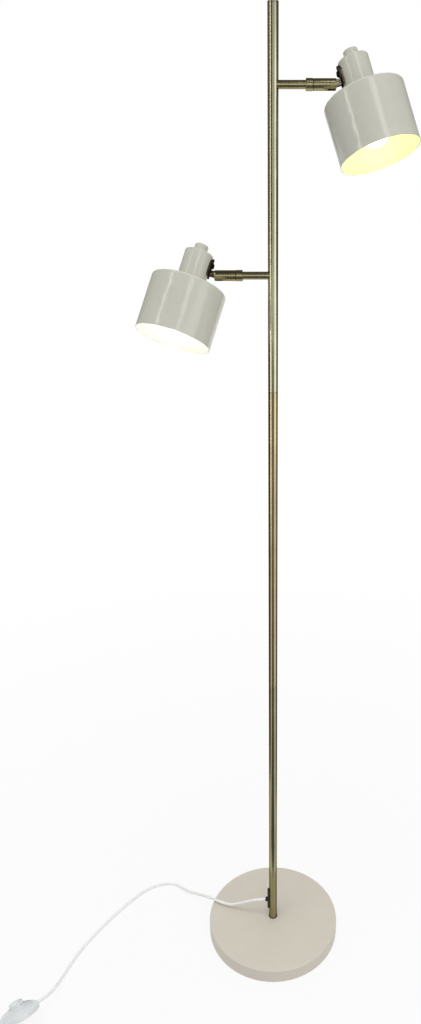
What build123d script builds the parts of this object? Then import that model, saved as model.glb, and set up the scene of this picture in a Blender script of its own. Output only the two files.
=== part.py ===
"""Two-light floor lamp: a heavy round foot, a brass pole in three tubes and two turning spot heads.

Millimetres, +Z up. The origin is the centre of the foot's underside, on the floor.
The arms lie along X, the right one towards +X. The front of the lamp faces -Y.
"""
import math
import os

from build123d import *

os.makedirs("parts", exist_ok=True)

# ---------------------------------------------------------------- driving dimensions
RUNNING_GAP = 0.05  # radial, between a shaft and the hole it turns in
PRESS_GAP = 0.02  # radial, round a pin that stays in its hole
FACE_GAP = 0.2  # between two faces that slide past each other
SEAT_GAP = 0.3  # between curved pieces that lie in each other and don't turn

# foot
BASE_DIAMETER = 236.0
BASE_HEIGHT = 25.0
BASE_EDGE_RADIUS = 2.0
COVER_WALL = 1.2
COVER_RIM_LIFT = 0.5  # the cover's rim stays clear of the floor
PAD_THICKNESS = 3.0
PAD_HOLE_DIAMETER = 60.0
WEIGHT_WEB = 12.0
WEIGHT_RIM_WIDTH = 16.0
WEIGHT_HUB_DIAMETER = 56.0
WEIGHT_HUB_BORE = 40.0
STUD_DIAMETER = 10.0
NUT_ACROSS_FLATS = 17.0
NUT_HEIGHT = 6.0
NUT_FLANGE_DIAMETER = 22.0
FOOT_RING_DIAMETER = 15.8
FOOT_RING_THICKNESS = 1.0

# pole
POLE_DIAMETER = 14.0
POLE_WALL = 1.0
LOWER_TUBE_LENGTH = 500.0
MIDDLE_TUBE_LENGTH = 489.5
UPPER_TUBE_LENGTH = 482.0
TUBE_END_CHAMFER = 0.35
POLE_CAP_THICKNESS = 2.5
POLE_CAP_CHAMFER = 0.8
PLUG_DEPTH = 18.0  # how far the foot plug reaches into the lower tube
CAP_SHANK = 8.0
COUPLER_LENGTH = 60.0
COUPLER_BORE = 8.4

# cable outlet
CORD_DIAMETER = 5.0
OUTLET_HEIGHT = 65.0
BOOT_LENGTH = 45.0
BOOT_ABOVE_OUTLET = 2.5  # the boot's middle lies above the cord's
BOOT_WIDTH = 10.0
BOOT_DEPTH = 3.3
BOOT_NOSE = 3.7
BOOT_NOSE_DIAMETER = 8.6
BOOT_NECK_WALL = 1.0

# arms
RIGHT_ARM_BELOW_TOP = 89.0  # under the upper tube's end
ARM_STEP = 232.2  # from the right arm down to the left one
ARM_DIAMETER = 10.4
ARM_WALL = 0.9
ARM_SOCKET = 5.0  # depth of the arm tube in its collar
COLLAR_START = 41.5  # measured from the pole's axis
COLLAR_LENGTH = 9.2
COLLAR_DIAMETER = 14.8
NIPPLE_BORE = 5.8
NIPPLE_GRIP = 18.0  # how far the nipple reaches into the arm tube

# swivel barrel and its fork
BARREL_DIAMETER = 14.2
BARREL_LENGTH = 29.4
BARREL_WALL = 0.9
BARREL_REAR_WALL = 3.0
BARREL_REAR_CHAMFER = 0.4
BARREL_NOSE_CHAMFER = 1.6
BARREL_RIM = 0.3  # flat left at the mouth's edge
SPIGOT_DIAMETER = 9.0
RETAINER_THICKNESS = 3.0
PIN_REACH = 76.0  # pivot pin, measured from the pole's axis
PIN_DIAMETER = 3.0
TONGUE_THICKNESS = 4.8
TONGUE_WIDTH = 8.0
SLOT_CLEARANCE = 2.7  # between the tongue's round end and the slot's floor

# pose of the heads at rest, degrees
RIGHT_TURN = 17.4  # about the arm
LEFT_TURN = 23.4
HEAD_TILT = 17.0  # of the stem above the arm

# head
NECK_OFFSET = 32.5  # neck axis from the pivot pin
STEM_ABOVE_SHADE = 24.4
STEM_DIAMETER = 6.0
STEM_THREAD = 5.0
STEM_TIP = 0.8  # thread beyond the nut
PLATE_THICKNESS = 2.2
PLATE_WIDTH = 18.0
PLATE_HEIGHT = 26.0
PLATE_BELOW_STEM = 6.5
PLATE_CORNER = 3.0
SCREW_ABOVE_STEM = 10.0
SCREW_HEAD_DIAMETER = 7.0
SCREW_HEAD_HEIGHT = 2.0
SCREW_SHANK = 3.0
SCREW_LENGTH = 5.0
STEM_NUT = 8.0
STEM_NUT_HEIGHT = 3.0
SHADE_DIAMETER = 105.2
SHADE_LENGTH = 77.5
SHADE_WALL = 1.0
SHADE_SHOULDER = 4.0
NECK_DIAMETER = 40.4
NECK_HEIGHT = 47.1
NECK_WALL = 1.0
NECK_SHOULDER = 2.5
FINIAL_DIAMETER = 18.8
FINIAL_HEIGHT = 11.3
FINIAL_EDGE = 1.5
ROD_DIAMETER = 10.0
ROD_DEPTH = 6.0  # of the rod in the lampholder

# lampholder and bulb
HOLDER_DIAMETER = 27.2
HOLDER_HEIGHT = 38.0  # above the shade's top
HOLDER_SKIRT = 12.0  # below the shade's top
HOLDER_FLANGE_DIAMETER = 34.0
HOLDER_FLANGE = 2.0
HOLDER_BOSS_DIAMETER = 18.0
HOLDER_SHOULDER = 8.0
RING_DIAMETER = 36.0
RING_HEIGHT = 5.0
BULB_CAP_DIAMETER = 13.8
BULB_CAP_LENGTH = 24.0
BULB_CONTACT_HEIGHT = 2.5
BULB_DIAMETER = 45.0
BULB_GLASS = 0.8
BULB_NECK = 2.5
BULB_NECK_DIAMETER = 17.0

# foot switch, rolled on its rim by the twist of the cord
SWITCH_X = -415.7
SWITCH_Y = -196.7
SWITCH_ROLL = 37.6
SWITCH_HEADING = 39.8  # of the cord through the switch, from +X
SWITCH_DIAMETER = 66.0
SWITCH_LOWER = 4.5
SWITCH_RIM = 3.2
SWITCH_DOME = 16.6
SWITCH_DOME_RADIUS = 40.0
SWITCH_WALL = 1.8
SWITCH_EDGE = 1.0
SWITCH_THROAT = 1.4
SWITCH_COLLAR = 2.6  # width of the ring round the button
BUTTON_DIAMETER = 22.0
BUTTON_TOP = 24.0
BUTTON_FLANGE = 2.0
BUTTON_WALL = 1.8
BUTTON_TRAVEL = 3.0
BLOCK_LENGTH = 44.0
BLOCK_WIDTH = 18.0
BLOCK_HEIGHT = 6.0
SPRING_DIAMETER = 9.0
SPRING_WIRE = 0.9
SPRING_TURNS = 4
SWITCH_BOSS_TOP = 12.2
SWITCH_SCREW_SPACING = 44.0
SWITCH_BOSS_DIAMETER = 7.2
SWITCH_SCREW_HEAD = 5.2
SWITCH_SCREW_DIAMETER = 2.6
SWITCH_SCREW_RECESS = 0.4

# plug
PLUG_WIDTH = 35.3
PLUG_THICKNESS = 13.7
PLUG_LENGTH = 36.0
PLUG_REAR_WIDTH = 15.0
PLUG_EDGE = 2.5
PLUG_TAIL = 18.0
PLUG_PIN_DIAMETER = 4.0
PLUG_PIN_LENGTH = 19.0
PLUG_PIN_SPACING = 18.6
PLUG_PIN_SLEEVE = 10.0

# coil of spare cord
COIL_PITCH = 5.5
COIL_OUTER_RADIUS = 35.75
COIL_TURNS = 3  # in each of its two layers
COIL_X = -487.3
COIL_Y = -302.9
TIE_THICKNESS = 1.0
TIE_WIDTH = 3.0

# routes of the cord, chosen by hand from the photograph and the floor
OUTLET_ROUTE = [
    (-3.0, 0.0, 65.0),
    (-19.0, 0.0, 65.0),
    (-43.0, 4.0, 56.5),
    (-64.0, 11.0, 42.5),
    (-81.0, 17.0, 32.5),
    (-100.0, 24.0, 32.5),
    (-120.5, 34.5, 32.5),
    (-141.9, 53.9, 19.5),
    (-163.1, 69.1, 10.0),
    (-182.0, 86.5, 3.6),
    (-199.0, 98.0, 2.6),
    (-228.0, 95.0, 2.6),
    (-255.0, 78.5, 2.6),
    (-278.6, 52.0, 2.6),
    (-303.0, 20.0, 2.6),
    (-330.0, -20.5, 2.6),
    (-351.0, -59.0, 2.6),
    (-363.0, -93.0, 3.2),
    (-369.0, -122.0, 9.0),
    (-373.5, -147.0, 19.0),
]
COIL_LEAD_POINTS = [
    (-470.5, -240.5, 16.0),
]
PLUG_LEAD_POINTS = [
    (-424.0, -301.0, 4.2),
]
SWITCH_RUN = 24.0  # of cord, straight out of the contact block on both sides
COIL_RUN = 22.0  # of cord, straight into the coil, out of it and into the plug
PLUG_X = -361.0
PLUG_Y = -278.1
PLUG_HEADING = 19.0

# ---------------------------------------------------------------- worked out from these
FLOOR_PLANE = Plane.XY
pole_radius = POLE_DIAMETER / 2
pole_bore = pole_radius - POLE_WALL
cord_radius = CORD_DIAMETER / 2
cord_hole = cord_radius + 0.1
cover_bore = BASE_DIAMETER / 2 - COVER_WALL
weight_radius = cover_bore - SEAT_GAP
weight_top = BASE_HEIGHT - COVER_WALL
stud_hole = STUD_DIAMETER / 2 + SEAT_GAP / 2
pole_foot = BASE_HEIGHT + FOOT_RING_THICKNESS
middle_foot = pole_foot + LOWER_TUBE_LENGTH
upper_foot = middle_foot + MIDDLE_TUBE_LENGTH
upper_end = upper_foot + UPPER_TUBE_LENGTH
right_arm_height = upper_end - RIGHT_ARM_BELOW_TOP
left_arm_height = right_arm_height - ARM_STEP
arm_bore = ARM_DIAMETER / 2 - ARM_WALL
collar_end = COLLAR_START + COLLAR_LENGTH
barrel_start = collar_end + FACE_GAP
barrel_end = barrel_start + BARREL_LENGTH
barrel_bore = BARREL_DIAMETER / 2 - BARREL_WALL
chamber_start = barrel_start + BARREL_REAR_WALL
retainer_start = chamber_start + FACE_GAP
spigot_end = retainer_start + RETAINER_THICKNESS
fork_start = spigot_end + 2 * FACE_GAP
fork_radius = barrel_bore - RUNNING_GAP
slot_width = TONGUE_THICKNESS + FACE_GAP
slot_floor = PIN_REACH - TONGUE_WIDTH / 2 - SLOT_CLEARANCE
pin_hole = PIN_DIAMETER / 2 + RUNNING_GAP
lead_hole = NIPPLE_BORE / 2
shade_radius = SHADE_DIAMETER / 2
neck_radius = NECK_DIAMETER / 2
stem_start = BARREL_DIAMETER / 2 + SEAT_GAP
plate_face = NECK_OFFSET - neck_radius - PLATE_THICKNESS
nut_corner = STEM_NUT / 2 / math.cos(math.radians(30))
nut_face = NECK_OFFSET - math.sqrt((neck_radius - NECK_WALL) ** 2 - nut_corner**2) + RUNNING_GAP
rod_hole = ROD_DIAMETER / 2 + RUNNING_GAP
holder_hole = HOLDER_DIAMETER / 2 + SEAT_GAP


def shifted(frame, x=0.0, y=0.0, z=0.0):
    """The same frame with its origin moved along its own axes."""
    return Plane(origin=frame.from_local_coords((x, y, z)), x_dir=frame.x_dir, z_dir=frame.z_dir)


def upright(frame, x=0.0, z=0.0):
    """A drawing plane through a frame: the sketch's x is the frame's x, its y is the frame's z."""
    return Plane(origin=frame.from_local_coords((x, 0, z)), x_dir=frame.x_dir, z_dir=-frame.y_dir)


def across(frame, x=0.0, z=0.0):
    """A drawing plane square to the frame's x: the sketch's x is the frame's y, its y the frame's z."""
    return Plane(origin=frame.from_local_coords((x, 0, z)), x_dir=frame.y_dir, z_dir=frame.x_dir)


def vertical_axis(frame, x=0.0):
    """The line through a frame along its z."""
    return Axis(frame.from_local_coords((x, 0, 0)), frame.z_dir)


def length_axis(frame):
    """The line through a frame along its x."""
    return Axis(frame.origin, frame.x_dir)


def write_part(sub_part, name):
    """Labels a finished sub-part and writes its file."""
    sub_part.part.label = name
    export_step(sub_part.part, f"parts/{name}.step")


# ---------------------------------------------------------------- the foot
with BuildPart() as base_cover:
    # a pressed steel dish, turned over
    with BuildSketch(FLOOR_PLANE.offset(COVER_RIM_LIFT)):
        Circle(BASE_DIAMETER / 2)
    extrude(amount=BASE_HEIGHT - COVER_RIM_LIFT)
    fillet(base_cover.faces().sort_by(Axis.Z)[-1].edges(), BASE_EDGE_RADIUS)
    with BuildSketch(FLOOR_PLANE.offset(COVER_RIM_LIFT)):
        Circle(cover_bore)
    extrude(amount=weight_top - COVER_RIM_LIFT, mode=Mode.SUBTRACT)
    with Locations((0, 0, BASE_HEIGHT)):
        Hole(stud_hole)
write_part(base_cover, "base_cover")

with BuildPart() as base_weight:
    # a grey iron casting: web, rim and hub
    with BuildSketch(FLOOR_PLANE.offset(weight_top - WEIGHT_WEB)):
        Circle(weight_radius)
    extrude(amount=WEIGHT_WEB)
    with BuildSketch(FLOOR_PLANE.offset(PAD_THICKNESS)):
        Circle(weight_radius)
        Circle(weight_radius - WEIGHT_RIM_WIDTH, mode=Mode.SUBTRACT)
        Circle(WEIGHT_HUB_DIAMETER / 2)
        Circle(WEIGHT_HUB_BORE / 2, mode=Mode.SUBTRACT)
    extrude(amount=weight_top - WEIGHT_WEB - PAD_THICKNESS)
    with Locations((0, 0, weight_top)):
        Hole(stud_hole)
write_part(base_weight, "base_weight")

with BuildPart() as base_pad:
    # felt-faced foam that the lamp stands on
    with BuildSketch(FLOOR_PLANE):
        Circle(weight_radius)
        Circle(PAD_HOLE_DIAMETER / 2, mode=Mode.SUBTRACT)
    extrude(amount=PAD_THICKNESS)
write_part(base_pad, "base_pad")

nut_top = weight_top - WEIGHT_WEB
with BuildPart() as base_nut:
    # flanged hexagon nut under the web
    with BuildSketch(FLOOR_PLANE.offset(nut_top - NUT_HEIGHT)):
        RegularPolygon(NUT_ACROSS_FLATS / 2, 6, major_radius=False)
    extrude(amount=NUT_HEIGHT)
    with BuildSketch(FLOOR_PLANE.offset(nut_top - NUT_HEIGHT / 4)):
        Circle(NUT_FLANGE_DIAMETER / 2)
    extrude(amount=NUT_HEIGHT / 4)
    with Locations((0, 0, nut_top)):
        Hole(STUD_DIAMETER / 2 + RUNNING_GAP)
write_part(base_nut, "base_nut")

with BuildPart() as foot_plug:
    # turned plug in the pole's end, with the stud that the nut pulls down
    with BuildSketch(FLOOR_PLANE.offset(pole_foot)):
        Circle(pole_bore - RUNNING_GAP)
    extrude(amount=PLUG_DEPTH)
    with BuildSketch(FLOOR_PLANE.offset(nut_top - NUT_HEIGHT - 1)):
        Circle(STUD_DIAMETER / 2)
    extrude(amount=pole_foot - nut_top + NUT_HEIGHT + 1)
    chamfer(foot_plug.faces().sort_by(Axis.Z)[0].edges(), 0.8)
write_part(foot_plug, "foot_plug")

with BuildPart() as foot_ring:
    with BuildSketch(FLOOR_PLANE.offset(BASE_HEIGHT)):
        Circle(FOOT_RING_DIAMETER / 2)
        Circle(stud_hole, mode=Mode.SUBTRACT)
    extrude(amount=FOOT_RING_THICKNESS)
    fillet(foot_ring.faces().sort_by(Axis.Z)[-1].outer_wire().edges(), 0.4)
write_part(foot_ring, "foot_ring")

# ---------------------------------------------------------------- the pole


def pole_tube(foot, length):
    """One tube of the pole, with both outer edges broken."""
    with BuildPart() as tube:
        with BuildSketch(FLOOR_PLANE.offset(foot)):
            Circle(pole_radius)
        extrude(amount=length)
        chamfer(tube.edges().filter_by(GeomType.CIRCLE), TUBE_END_CHAMFER)
        with Locations((0, 0, foot + length)):
            Hole(pole_bore)
    return tube


with BuildPart() as pole_lower:
    # the lowest tube has the cable outlet's hole, on the -X side
    add(pole_tube(pole_foot, LOWER_TUBE_LENGTH).part)
    with BuildSketch(Plane.YZ.offset(-pole_radius - 1)):
        with Locations((0, OUTLET_HEIGHT)):
            Circle(cord_hole + BOOT_NECK_WALL + RUNNING_GAP)
    extrude(amount=pole_radius, mode=Mode.SUBTRACT)
write_part(pole_lower, "pole_lower")

pole_middle = pole_tube(middle_foot, MIDDLE_TUBE_LENGTH)
write_part(pole_middle, "pole_middle")

with BuildPart() as pole_upper:
    # the top tube is drilled for the two arms
    add(pole_tube(upper_foot, UPPER_TUBE_LENGTH).part)
    for height, way in ((right_arm_height, 1), (left_arm_height, -1)):
        with BuildSketch(Plane.YZ):
            with Locations((0, height)):
                Circle(arm_bore)
        extrude(amount=way * POLE_DIAMETER, mode=Mode.SUBTRACT)
write_part(pole_upper, "pole_upper")

with BuildPart() as pole_couplers:
    # two threaded sleeves inside the joints of the pole
    for joint_height in (middle_foot, upper_foot):
        with BuildSketch(FLOOR_PLANE.offset(joint_height - COUPLER_LENGTH / 2)):
            Circle(pole_bore - RUNNING_GAP)
            Circle(COUPLER_BORE / 2, mode=Mode.SUBTRACT)
        extrude(amount=COUPLER_LENGTH)
write_part(pole_couplers, "pole_couplers")

with BuildPart() as pole_cap:
    with BuildSketch(FLOOR_PLANE.offset(upper_end)):
        Circle(pole_radius)
    extrude(amount=POLE_CAP_THICKNESS)
    chamfer(pole_cap.faces().sort_by(Axis.Z)[-1].edges(), POLE_CAP_CHAMFER)
    with BuildSketch(FLOOR_PLANE.offset(upper_end)):
        Circle(pole_bore - RUNNING_GAP)
    extrude(amount=-CAP_SHANK)
write_part(pole_cap, "pole_cap")

# ---------------------------------------------------------------- the cable outlet
outlet = Plane(origin=(0, 0, OUTLET_HEIGHT), x_dir=(-1, 0, 0), z_dir=(0, 0, 1))
boot_face = pole_radius + BOOT_DEPTH
with BuildPart() as cable_boot:
    # a rubber boot that hugs the tube, with a short nose round the cord
    with BuildSketch(across(outlet, x=pole_radius / 2)):
        with Locations((0, BOOT_ABOVE_OUTLET)):
            SlotOverall(BOOT_LENGTH, BOOT_WIDTH, rotation=90)
    extrude(amount=boot_face - pole_radius / 2)
    fillet(cable_boot.faces().sort_by(length_axis(outlet))[-1].edges(), BOOT_DEPTH * 0.7)
    with BuildSketch(FLOOR_PLANE.offset(OUTLET_HEIGHT - BOOT_LENGTH)):
        Circle(pole_radius)
    extrude(amount=2 * BOOT_LENGTH, mode=Mode.SUBTRACT)
    with BuildSketch(upright(outlet)) as boot_nose:
        with BuildLine():
            Polyline(
                (pole_bore, 0),
                (pole_bore, cord_hole + BOOT_NECK_WALL),
                (boot_face - 1, cord_hole + BOOT_NECK_WALL),
                (boot_face - 1, BOOT_NOSE_DIAMETER / 2),
                (boot_face + BOOT_NOSE / 3, BOOT_NOSE_DIAMETER / 2),
                (boot_face + BOOT_NOSE, cord_hole + 0.7),
                (boot_face + BOOT_NOSE, 0),
                close=True,
            )
        make_face()
    revolve(axis=length_axis(outlet))
    with BuildSketch(across(outlet)):
        Circle(cord_hole)
    extrude(amount=boot_face + BOOT_NOSE, mode=Mode.SUBTRACT)
write_part(cable_boot, "cable_boot")

# ---------------------------------------------------------------- arms and heads
SIDES = (
    ("right", 1, right_arm_height, RIGHT_TURN),
    ("left", -1, left_arm_height, LEFT_TURN),
)


def arm_frame(way, height):
    """On the pole's axis, x along the arm."""
    return Plane(origin=(0, 0, height), x_dir=(way, 0, 0), z_dir=(0, 0, 1))


def swivel_frame(way, height, turn):
    """On the pivot pin, x along the arm, turned about the arm with the head. y is the pin's axis."""
    turn = math.radians(turn)
    return Plane(
        origin=(way * PIN_REACH, 0, height),
        x_dir=(way, 0, 0),
        z_dir=(0, math.sin(turn), math.cos(turn)),
    )


def head_frame(way, height, turn):
    """On the pivot pin, x along the head's stem, z along the shade's axis towards its closed end."""
    turn, tilt = math.radians(turn), math.radians(HEAD_TILT)
    stem = (way * math.cos(tilt), math.sin(tilt) * math.sin(turn), math.sin(tilt) * math.cos(turn))
    up = (-way * math.sin(tilt), math.cos(tilt) * math.sin(turn), math.cos(tilt) * math.cos(turn))
    return Plane(origin=(way * PIN_REACH, 0, height), x_dir=stem, z_dir=up)


with BuildPart() as arm_nipples:
    # short threaded tubes that carry the arms in the pole's wall
    for side, way, height, turn in SIDES:
        with BuildSketch(across(arm_frame(way, height), x=pole_bore - 1)):
            Circle(arm_bore - RUNNING_GAP)
            Circle(NIPPLE_BORE / 2, mode=Mode.SUBTRACT)
        extrude(amount=1 + POLE_WALL + NIPPLE_GRIP)
write_part(arm_nipples, "arm_nipples")

with BuildPart() as swivel_retainers:
    # round nuts on the collars' spigots, inside the barrels
    for side, way, height, turn in SIDES:
        with BuildSketch(across(arm_frame(way, height), x=retainer_start)):
            Circle(barrel_bore - SEAT_GAP)
            Circle(SPIGOT_DIAMETER / 2 + RUNNING_GAP, mode=Mode.SUBTRACT)
        extrude(amount=RETAINER_THICKNESS)
write_part(swivel_retainers, "swivel_retainers")

for side, way, height, turn in SIDES:
    arm = arm_frame(way, height)
    swivel = swivel_frame(way, height, turn)
    barrel_frame = shifted(swivel, x=-PIN_REACH)
    head = head_frame(way, height, turn)

    with BuildPart() as arm_tube:
        # its inner end is coped to the pole
        with BuildSketch(across(arm)):
            Circle(ARM_DIAMETER / 2)
            Circle(arm_bore, mode=Mode.SUBTRACT)
        extrude(amount=COLLAR_START + ARM_SOCKET)
        with BuildSketch(FLOOR_PLANE.offset(height - ARM_DIAMETER)):
            Circle(pole_radius)
        extrude(amount=2 * ARM_DIAMETER, mode=Mode.SUBTRACT)
    write_part(arm_tube, f"{side}_arm_tube")

    with BuildPart() as collar:
        # socket for the arm tube at the back, spigot for the barrel at the front
        with BuildSketch(upright(arm)) as collar_section:
            with BuildLine():
                Polyline(
                    (COLLAR_START, ARM_DIAMETER / 2 + RUNNING_GAP),
                    (COLLAR_START, COLLAR_DIAMETER / 2),
                    (collar_end, COLLAR_DIAMETER / 2),
                    (collar_end, SPIGOT_DIAMETER / 2),
                    (spigot_end, SPIGOT_DIAMETER / 2),
                    (spigot_end, lead_hole),
                    (COLLAR_START + ARM_SOCKET, lead_hole),
                    (COLLAR_START + ARM_SOCKET, ARM_DIAMETER / 2 + RUNNING_GAP),
                    close=True,
                )
            make_face()
            rim = collar_section.vertices().group_by(Axis.Y)[-1]
            chamfer(rim, 0.5)
        revolve(axis=length_axis(arm))
    write_part(collar, f"{side}_collar")

    with BuildPart() as barrel:
        # turned sleeve that swivels on the spigot, slotted for the tongue
        with BuildSketch(upright(barrel_frame)):
            with BuildLine():
                Polyline(
                    (barrel_start, SPIGOT_DIAMETER / 2 + RUNNING_GAP),
                    (barrel_start, BARREL_DIAMETER / 2 - BARREL_REAR_CHAMFER),
                    (barrel_start + BARREL_REAR_CHAMFER, BARREL_DIAMETER / 2),
                    (barrel_end - BARREL_NOSE_CHAMFER, BARREL_DIAMETER / 2),
                    (barrel_end, barrel_bore + BARREL_RIM),
                    (barrel_end, barrel_bore),
                    (chamber_start, barrel_bore),
                    (chamber_start, SPIGOT_DIAMETER / 2 + RUNNING_GAP),
                    close=True,
                )
            make_face()
        revolve(axis=length_axis(barrel_frame))
        with BuildSketch(across(barrel_frame, x=slot_floor)):
            Rectangle(slot_width, 2 * BARREL_DIAMETER)
        extrude(amount=BARREL_LENGTH, mode=Mode.SUBTRACT)
    write_part(barrel, f"{side}_swivel_barrel")

    with BuildPart() as fork:
        # core pressed into the barrel: two cheeks, the pin's hole and the lead's hole
        with BuildSketch(across(barrel_frame, x=fork_start)):
            Circle(fork_radius)
        extrude(amount=barrel_end - fork_start - FACE_GAP)
        with BuildSketch(across(barrel_frame, x=slot_floor)):
            Rectangle(slot_width, 2 * BARREL_DIAMETER)
        extrude(amount=BARREL_LENGTH, mode=Mode.SUBTRACT)
        with BuildSketch(across(barrel_frame, x=fork_start)):
            Circle(lead_hole)
        extrude(amount=slot_floor - fork_start, mode=Mode.SUBTRACT)
        with BuildSketch(upright(swivel)):
            Circle(PIN_DIAMETER / 2 + PRESS_GAP)
        extrude(amount=BARREL_DIAMETER, both=True, mode=Mode.SUBTRACT)
    write_part(fork, f"{side}_fork")

    with BuildPart() as pivot_pin:
        with BuildSketch(upright(swivel)):
            Circle(PIN_DIAMETER / 2)
        extrude(amount=math.sqrt(fork_radius**2 - (PIN_DIAMETER / 2) ** 2) - FACE_GAP, both=True)
    write_part(pivot_pin, f"{side}_pivot_pin")

    with BuildPart() as tongue:
        # flat eye on the pin, round stem and threaded end through the neck's wall
        with BuildSketch(upright(head)):
            Circle(TONGUE_WIDTH / 2)
            with Locations(((plate_face + 1) / 2, 0)):
                Rectangle(plate_face + 1, TONGUE_WIDTH)
            Circle(pin_hole, mode=Mode.SUBTRACT)
        extrude(amount=TONGUE_THICKNESS / 2, both=True)
        with BuildSketch(across(head, x=stem_start)):
            Circle(STEM_DIAMETER / 2)
        extrude(amount=plate_face + 1 - stem_start)
        with BuildSketch(shifted(head, x=NECK_OFFSET, z=-TONGUE_WIDTH)):
            Circle(neck_radius + PLATE_THICKNESS + 2 * PRESS_GAP)
        extrude(amount=2 * TONGUE_WIDTH, mode=Mode.SUBTRACT)
        with BuildSketch(across(head, x=plate_face - 1)):
            Circle(STEM_THREAD / 2)
        extrude(amount=1 + nut_face - plate_face + STEM_NUT_HEIGHT + STEM_TIP)
    write_part(tongue, f"{side}_tongue")

    neck_axis = vertical_axis(head, x=NECK_OFFSET)
    shade_top = upright(head, x=NECK_OFFSET, z=-STEM_ABOVE_SHADE)
    neck_foot = shifted(head, x=NECK_OFFSET, z=-STEM_ABOVE_SHADE)

    with BuildPart() as neck_plate:
        # brass saddle that follows the neck's round wall
        with BuildSketch(neck_foot):
            Circle(neck_radius + PLATE_THICKNESS)
            Circle(neck_radius + PRESS_GAP, mode=Mode.SUBTRACT)
        extrude(amount=NECK_HEIGHT)
        with BuildSketch(across(head, z=-PLATE_BELOW_STEM)) as plate_outline:
            with Locations((0, (PLATE_HEIGHT - PLATE_WIDTH / 2) / 2)):
                Rectangle(PLATE_WIDTH, PLATE_HEIGHT - PLATE_WIDTH / 2)
            with Locations((0, PLATE_HEIGHT - PLATE_WIDTH / 2)):
                Circle(PLATE_WIDTH / 2)
            fillet(plate_outline.vertices().group_by(Axis.Y)[0], PLATE_CORNER)
        extrude(amount=NECK_OFFSET, mode=Mode.INTERSECT)
        with BuildSketch(across(head)):
            Circle(STEM_THREAD / 2 + RUNNING_GAP)
            with Locations((0, SCREW_ABOVE_STEM)):
                Circle(SCREW_SHANK / 2 + RUNNING_GAP)
        extrude(amount=NECK_OFFSET, mode=Mode.SUBTRACT)
    write_part(neck_plate, f"{side}_neck_plate")

    with BuildPart() as plate_fixings:
        # a button-head screw and the nut on the tongue's thread
        with BuildSketch(across(head, x=plate_face - SCREW_HEAD_HEIGHT, z=SCREW_ABOVE_STEM)):
            Circle(SCREW_HEAD_DIAMETER / 2)
        extrude(amount=SCREW_HEAD_HEIGHT)
        with BuildSketch(across(head, x=plate_face, z=SCREW_ABOVE_STEM)):
            Circle(SCREW_SHANK / 2)
        extrude(amount=SCREW_LENGTH)
        head_faces = plate_fixings.faces().filter_by(GeomType.PLANE).group_by(length_axis(head))[0]
        fillet(head_faces.edges(), SCREW_HEAD_HEIGHT * 0.45)
        with BuildSketch(across(head, x=nut_face)):
            RegularPolygon(STEM_NUT / 2, 6, major_radius=False)
            Circle(STEM_THREAD / 2 + RUNNING_GAP, mode=Mode.SUBTRACT)
        extrude(amount=STEM_NUT_HEIGHT)
    write_part(plate_fixings, f"{side}_plate_fixings")

    with BuildPart() as neck_cup:
        # deep-drawn cup over the lampholder
        with BuildSketch(shade_top) as cup_section:
            with BuildLine():
                Polyline(
                    (neck_radius - NECK_WALL, 0),
                    (neck_radius, 0),
                    (neck_radius, NECK_HEIGHT),
                    (rod_hole, NECK_HEIGHT),
                    (rod_hole, NECK_HEIGHT - NECK_WALL),
                    (neck_radius - NECK_WALL, NECK_HEIGHT - NECK_WALL),
                    close=True,
                )
            make_face()
            corners = cup_section.vertices()
            fillet(corners.sort_by_distance((neck_radius, NECK_HEIGHT))[0], NECK_SHOULDER)
            inner_corner = (neck_radius - NECK_WALL, NECK_HEIGHT - NECK_WALL)
            fillet(cup_section.vertices().sort_by_distance(inner_corner)[0], NECK_SHOULDER - NECK_WALL)
        revolve(axis=neck_axis)
        with BuildSketch(across(head)):
            Circle(STEM_THREAD / 2 + RUNNING_GAP)
            with Locations((0, SCREW_ABOVE_STEM)):
                Circle(SCREW_SHANK / 2 + RUNNING_GAP)
        extrude(amount=NECK_OFFSET, mode=Mode.SUBTRACT)
    write_part(neck_cup, f"{side}_neck_cup")

    with BuildPart() as finial:
        # round knob with the threaded rod that holds the lampholder
        with BuildSketch(shifted(neck_foot, z=NECK_HEIGHT)):
            Circle(FINIAL_DIAMETER / 2)
        extrude(amount=FINIAL_HEIGHT)
        fillet(finial.faces().sort_by(neck_axis)[-1].edges(), FINIAL_EDGE)
        with BuildSketch(shifted(neck_foot, z=NECK_HEIGHT)):
            Circle(ROD_DIAMETER / 2)
        extrude(amount=HOLDER_HEIGHT - ROD_DEPTH - NECK_HEIGHT)
    write_part(finial, f"{side}_finial")

    with BuildPart() as shade:
        # spun steel shade, open below
        with BuildSketch(shade_top) as shade_section:
            with BuildLine():
                Polyline(
                    (holder_hole, 0),
                    (shade_radius, 0),
                    (shade_radius, -SHADE_LENGTH),
                    (shade_radius - SHADE_WALL, -SHADE_LENGTH),
                    (shade_radius - SHADE_WALL, -SHADE_WALL),
                    (holder_hole, -SHADE_WALL),
                    close=True,
                )
            make_face()
            fillet(shade_section.vertices().sort_by_distance((shade_radius, 0))[0], SHADE_SHOULDER)
            inner_corner = (shade_radius - SHADE_WALL, -SHADE_WALL)
            inner_vertex = shade_section.vertices().sort_by_distance(inner_corner)[0]
            fillet(inner_vertex, SHADE_SHOULDER - SHADE_WALL)
        revolve(axis=neck_axis)
    write_part(shade, f"{side}_shade")

    bulb_seat = BULB_CAP_LENGTH + BULB_CONTACT_HEIGHT + SEAT_GAP - HOLDER_SKIRT
    with BuildPart() as lampholder:
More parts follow.
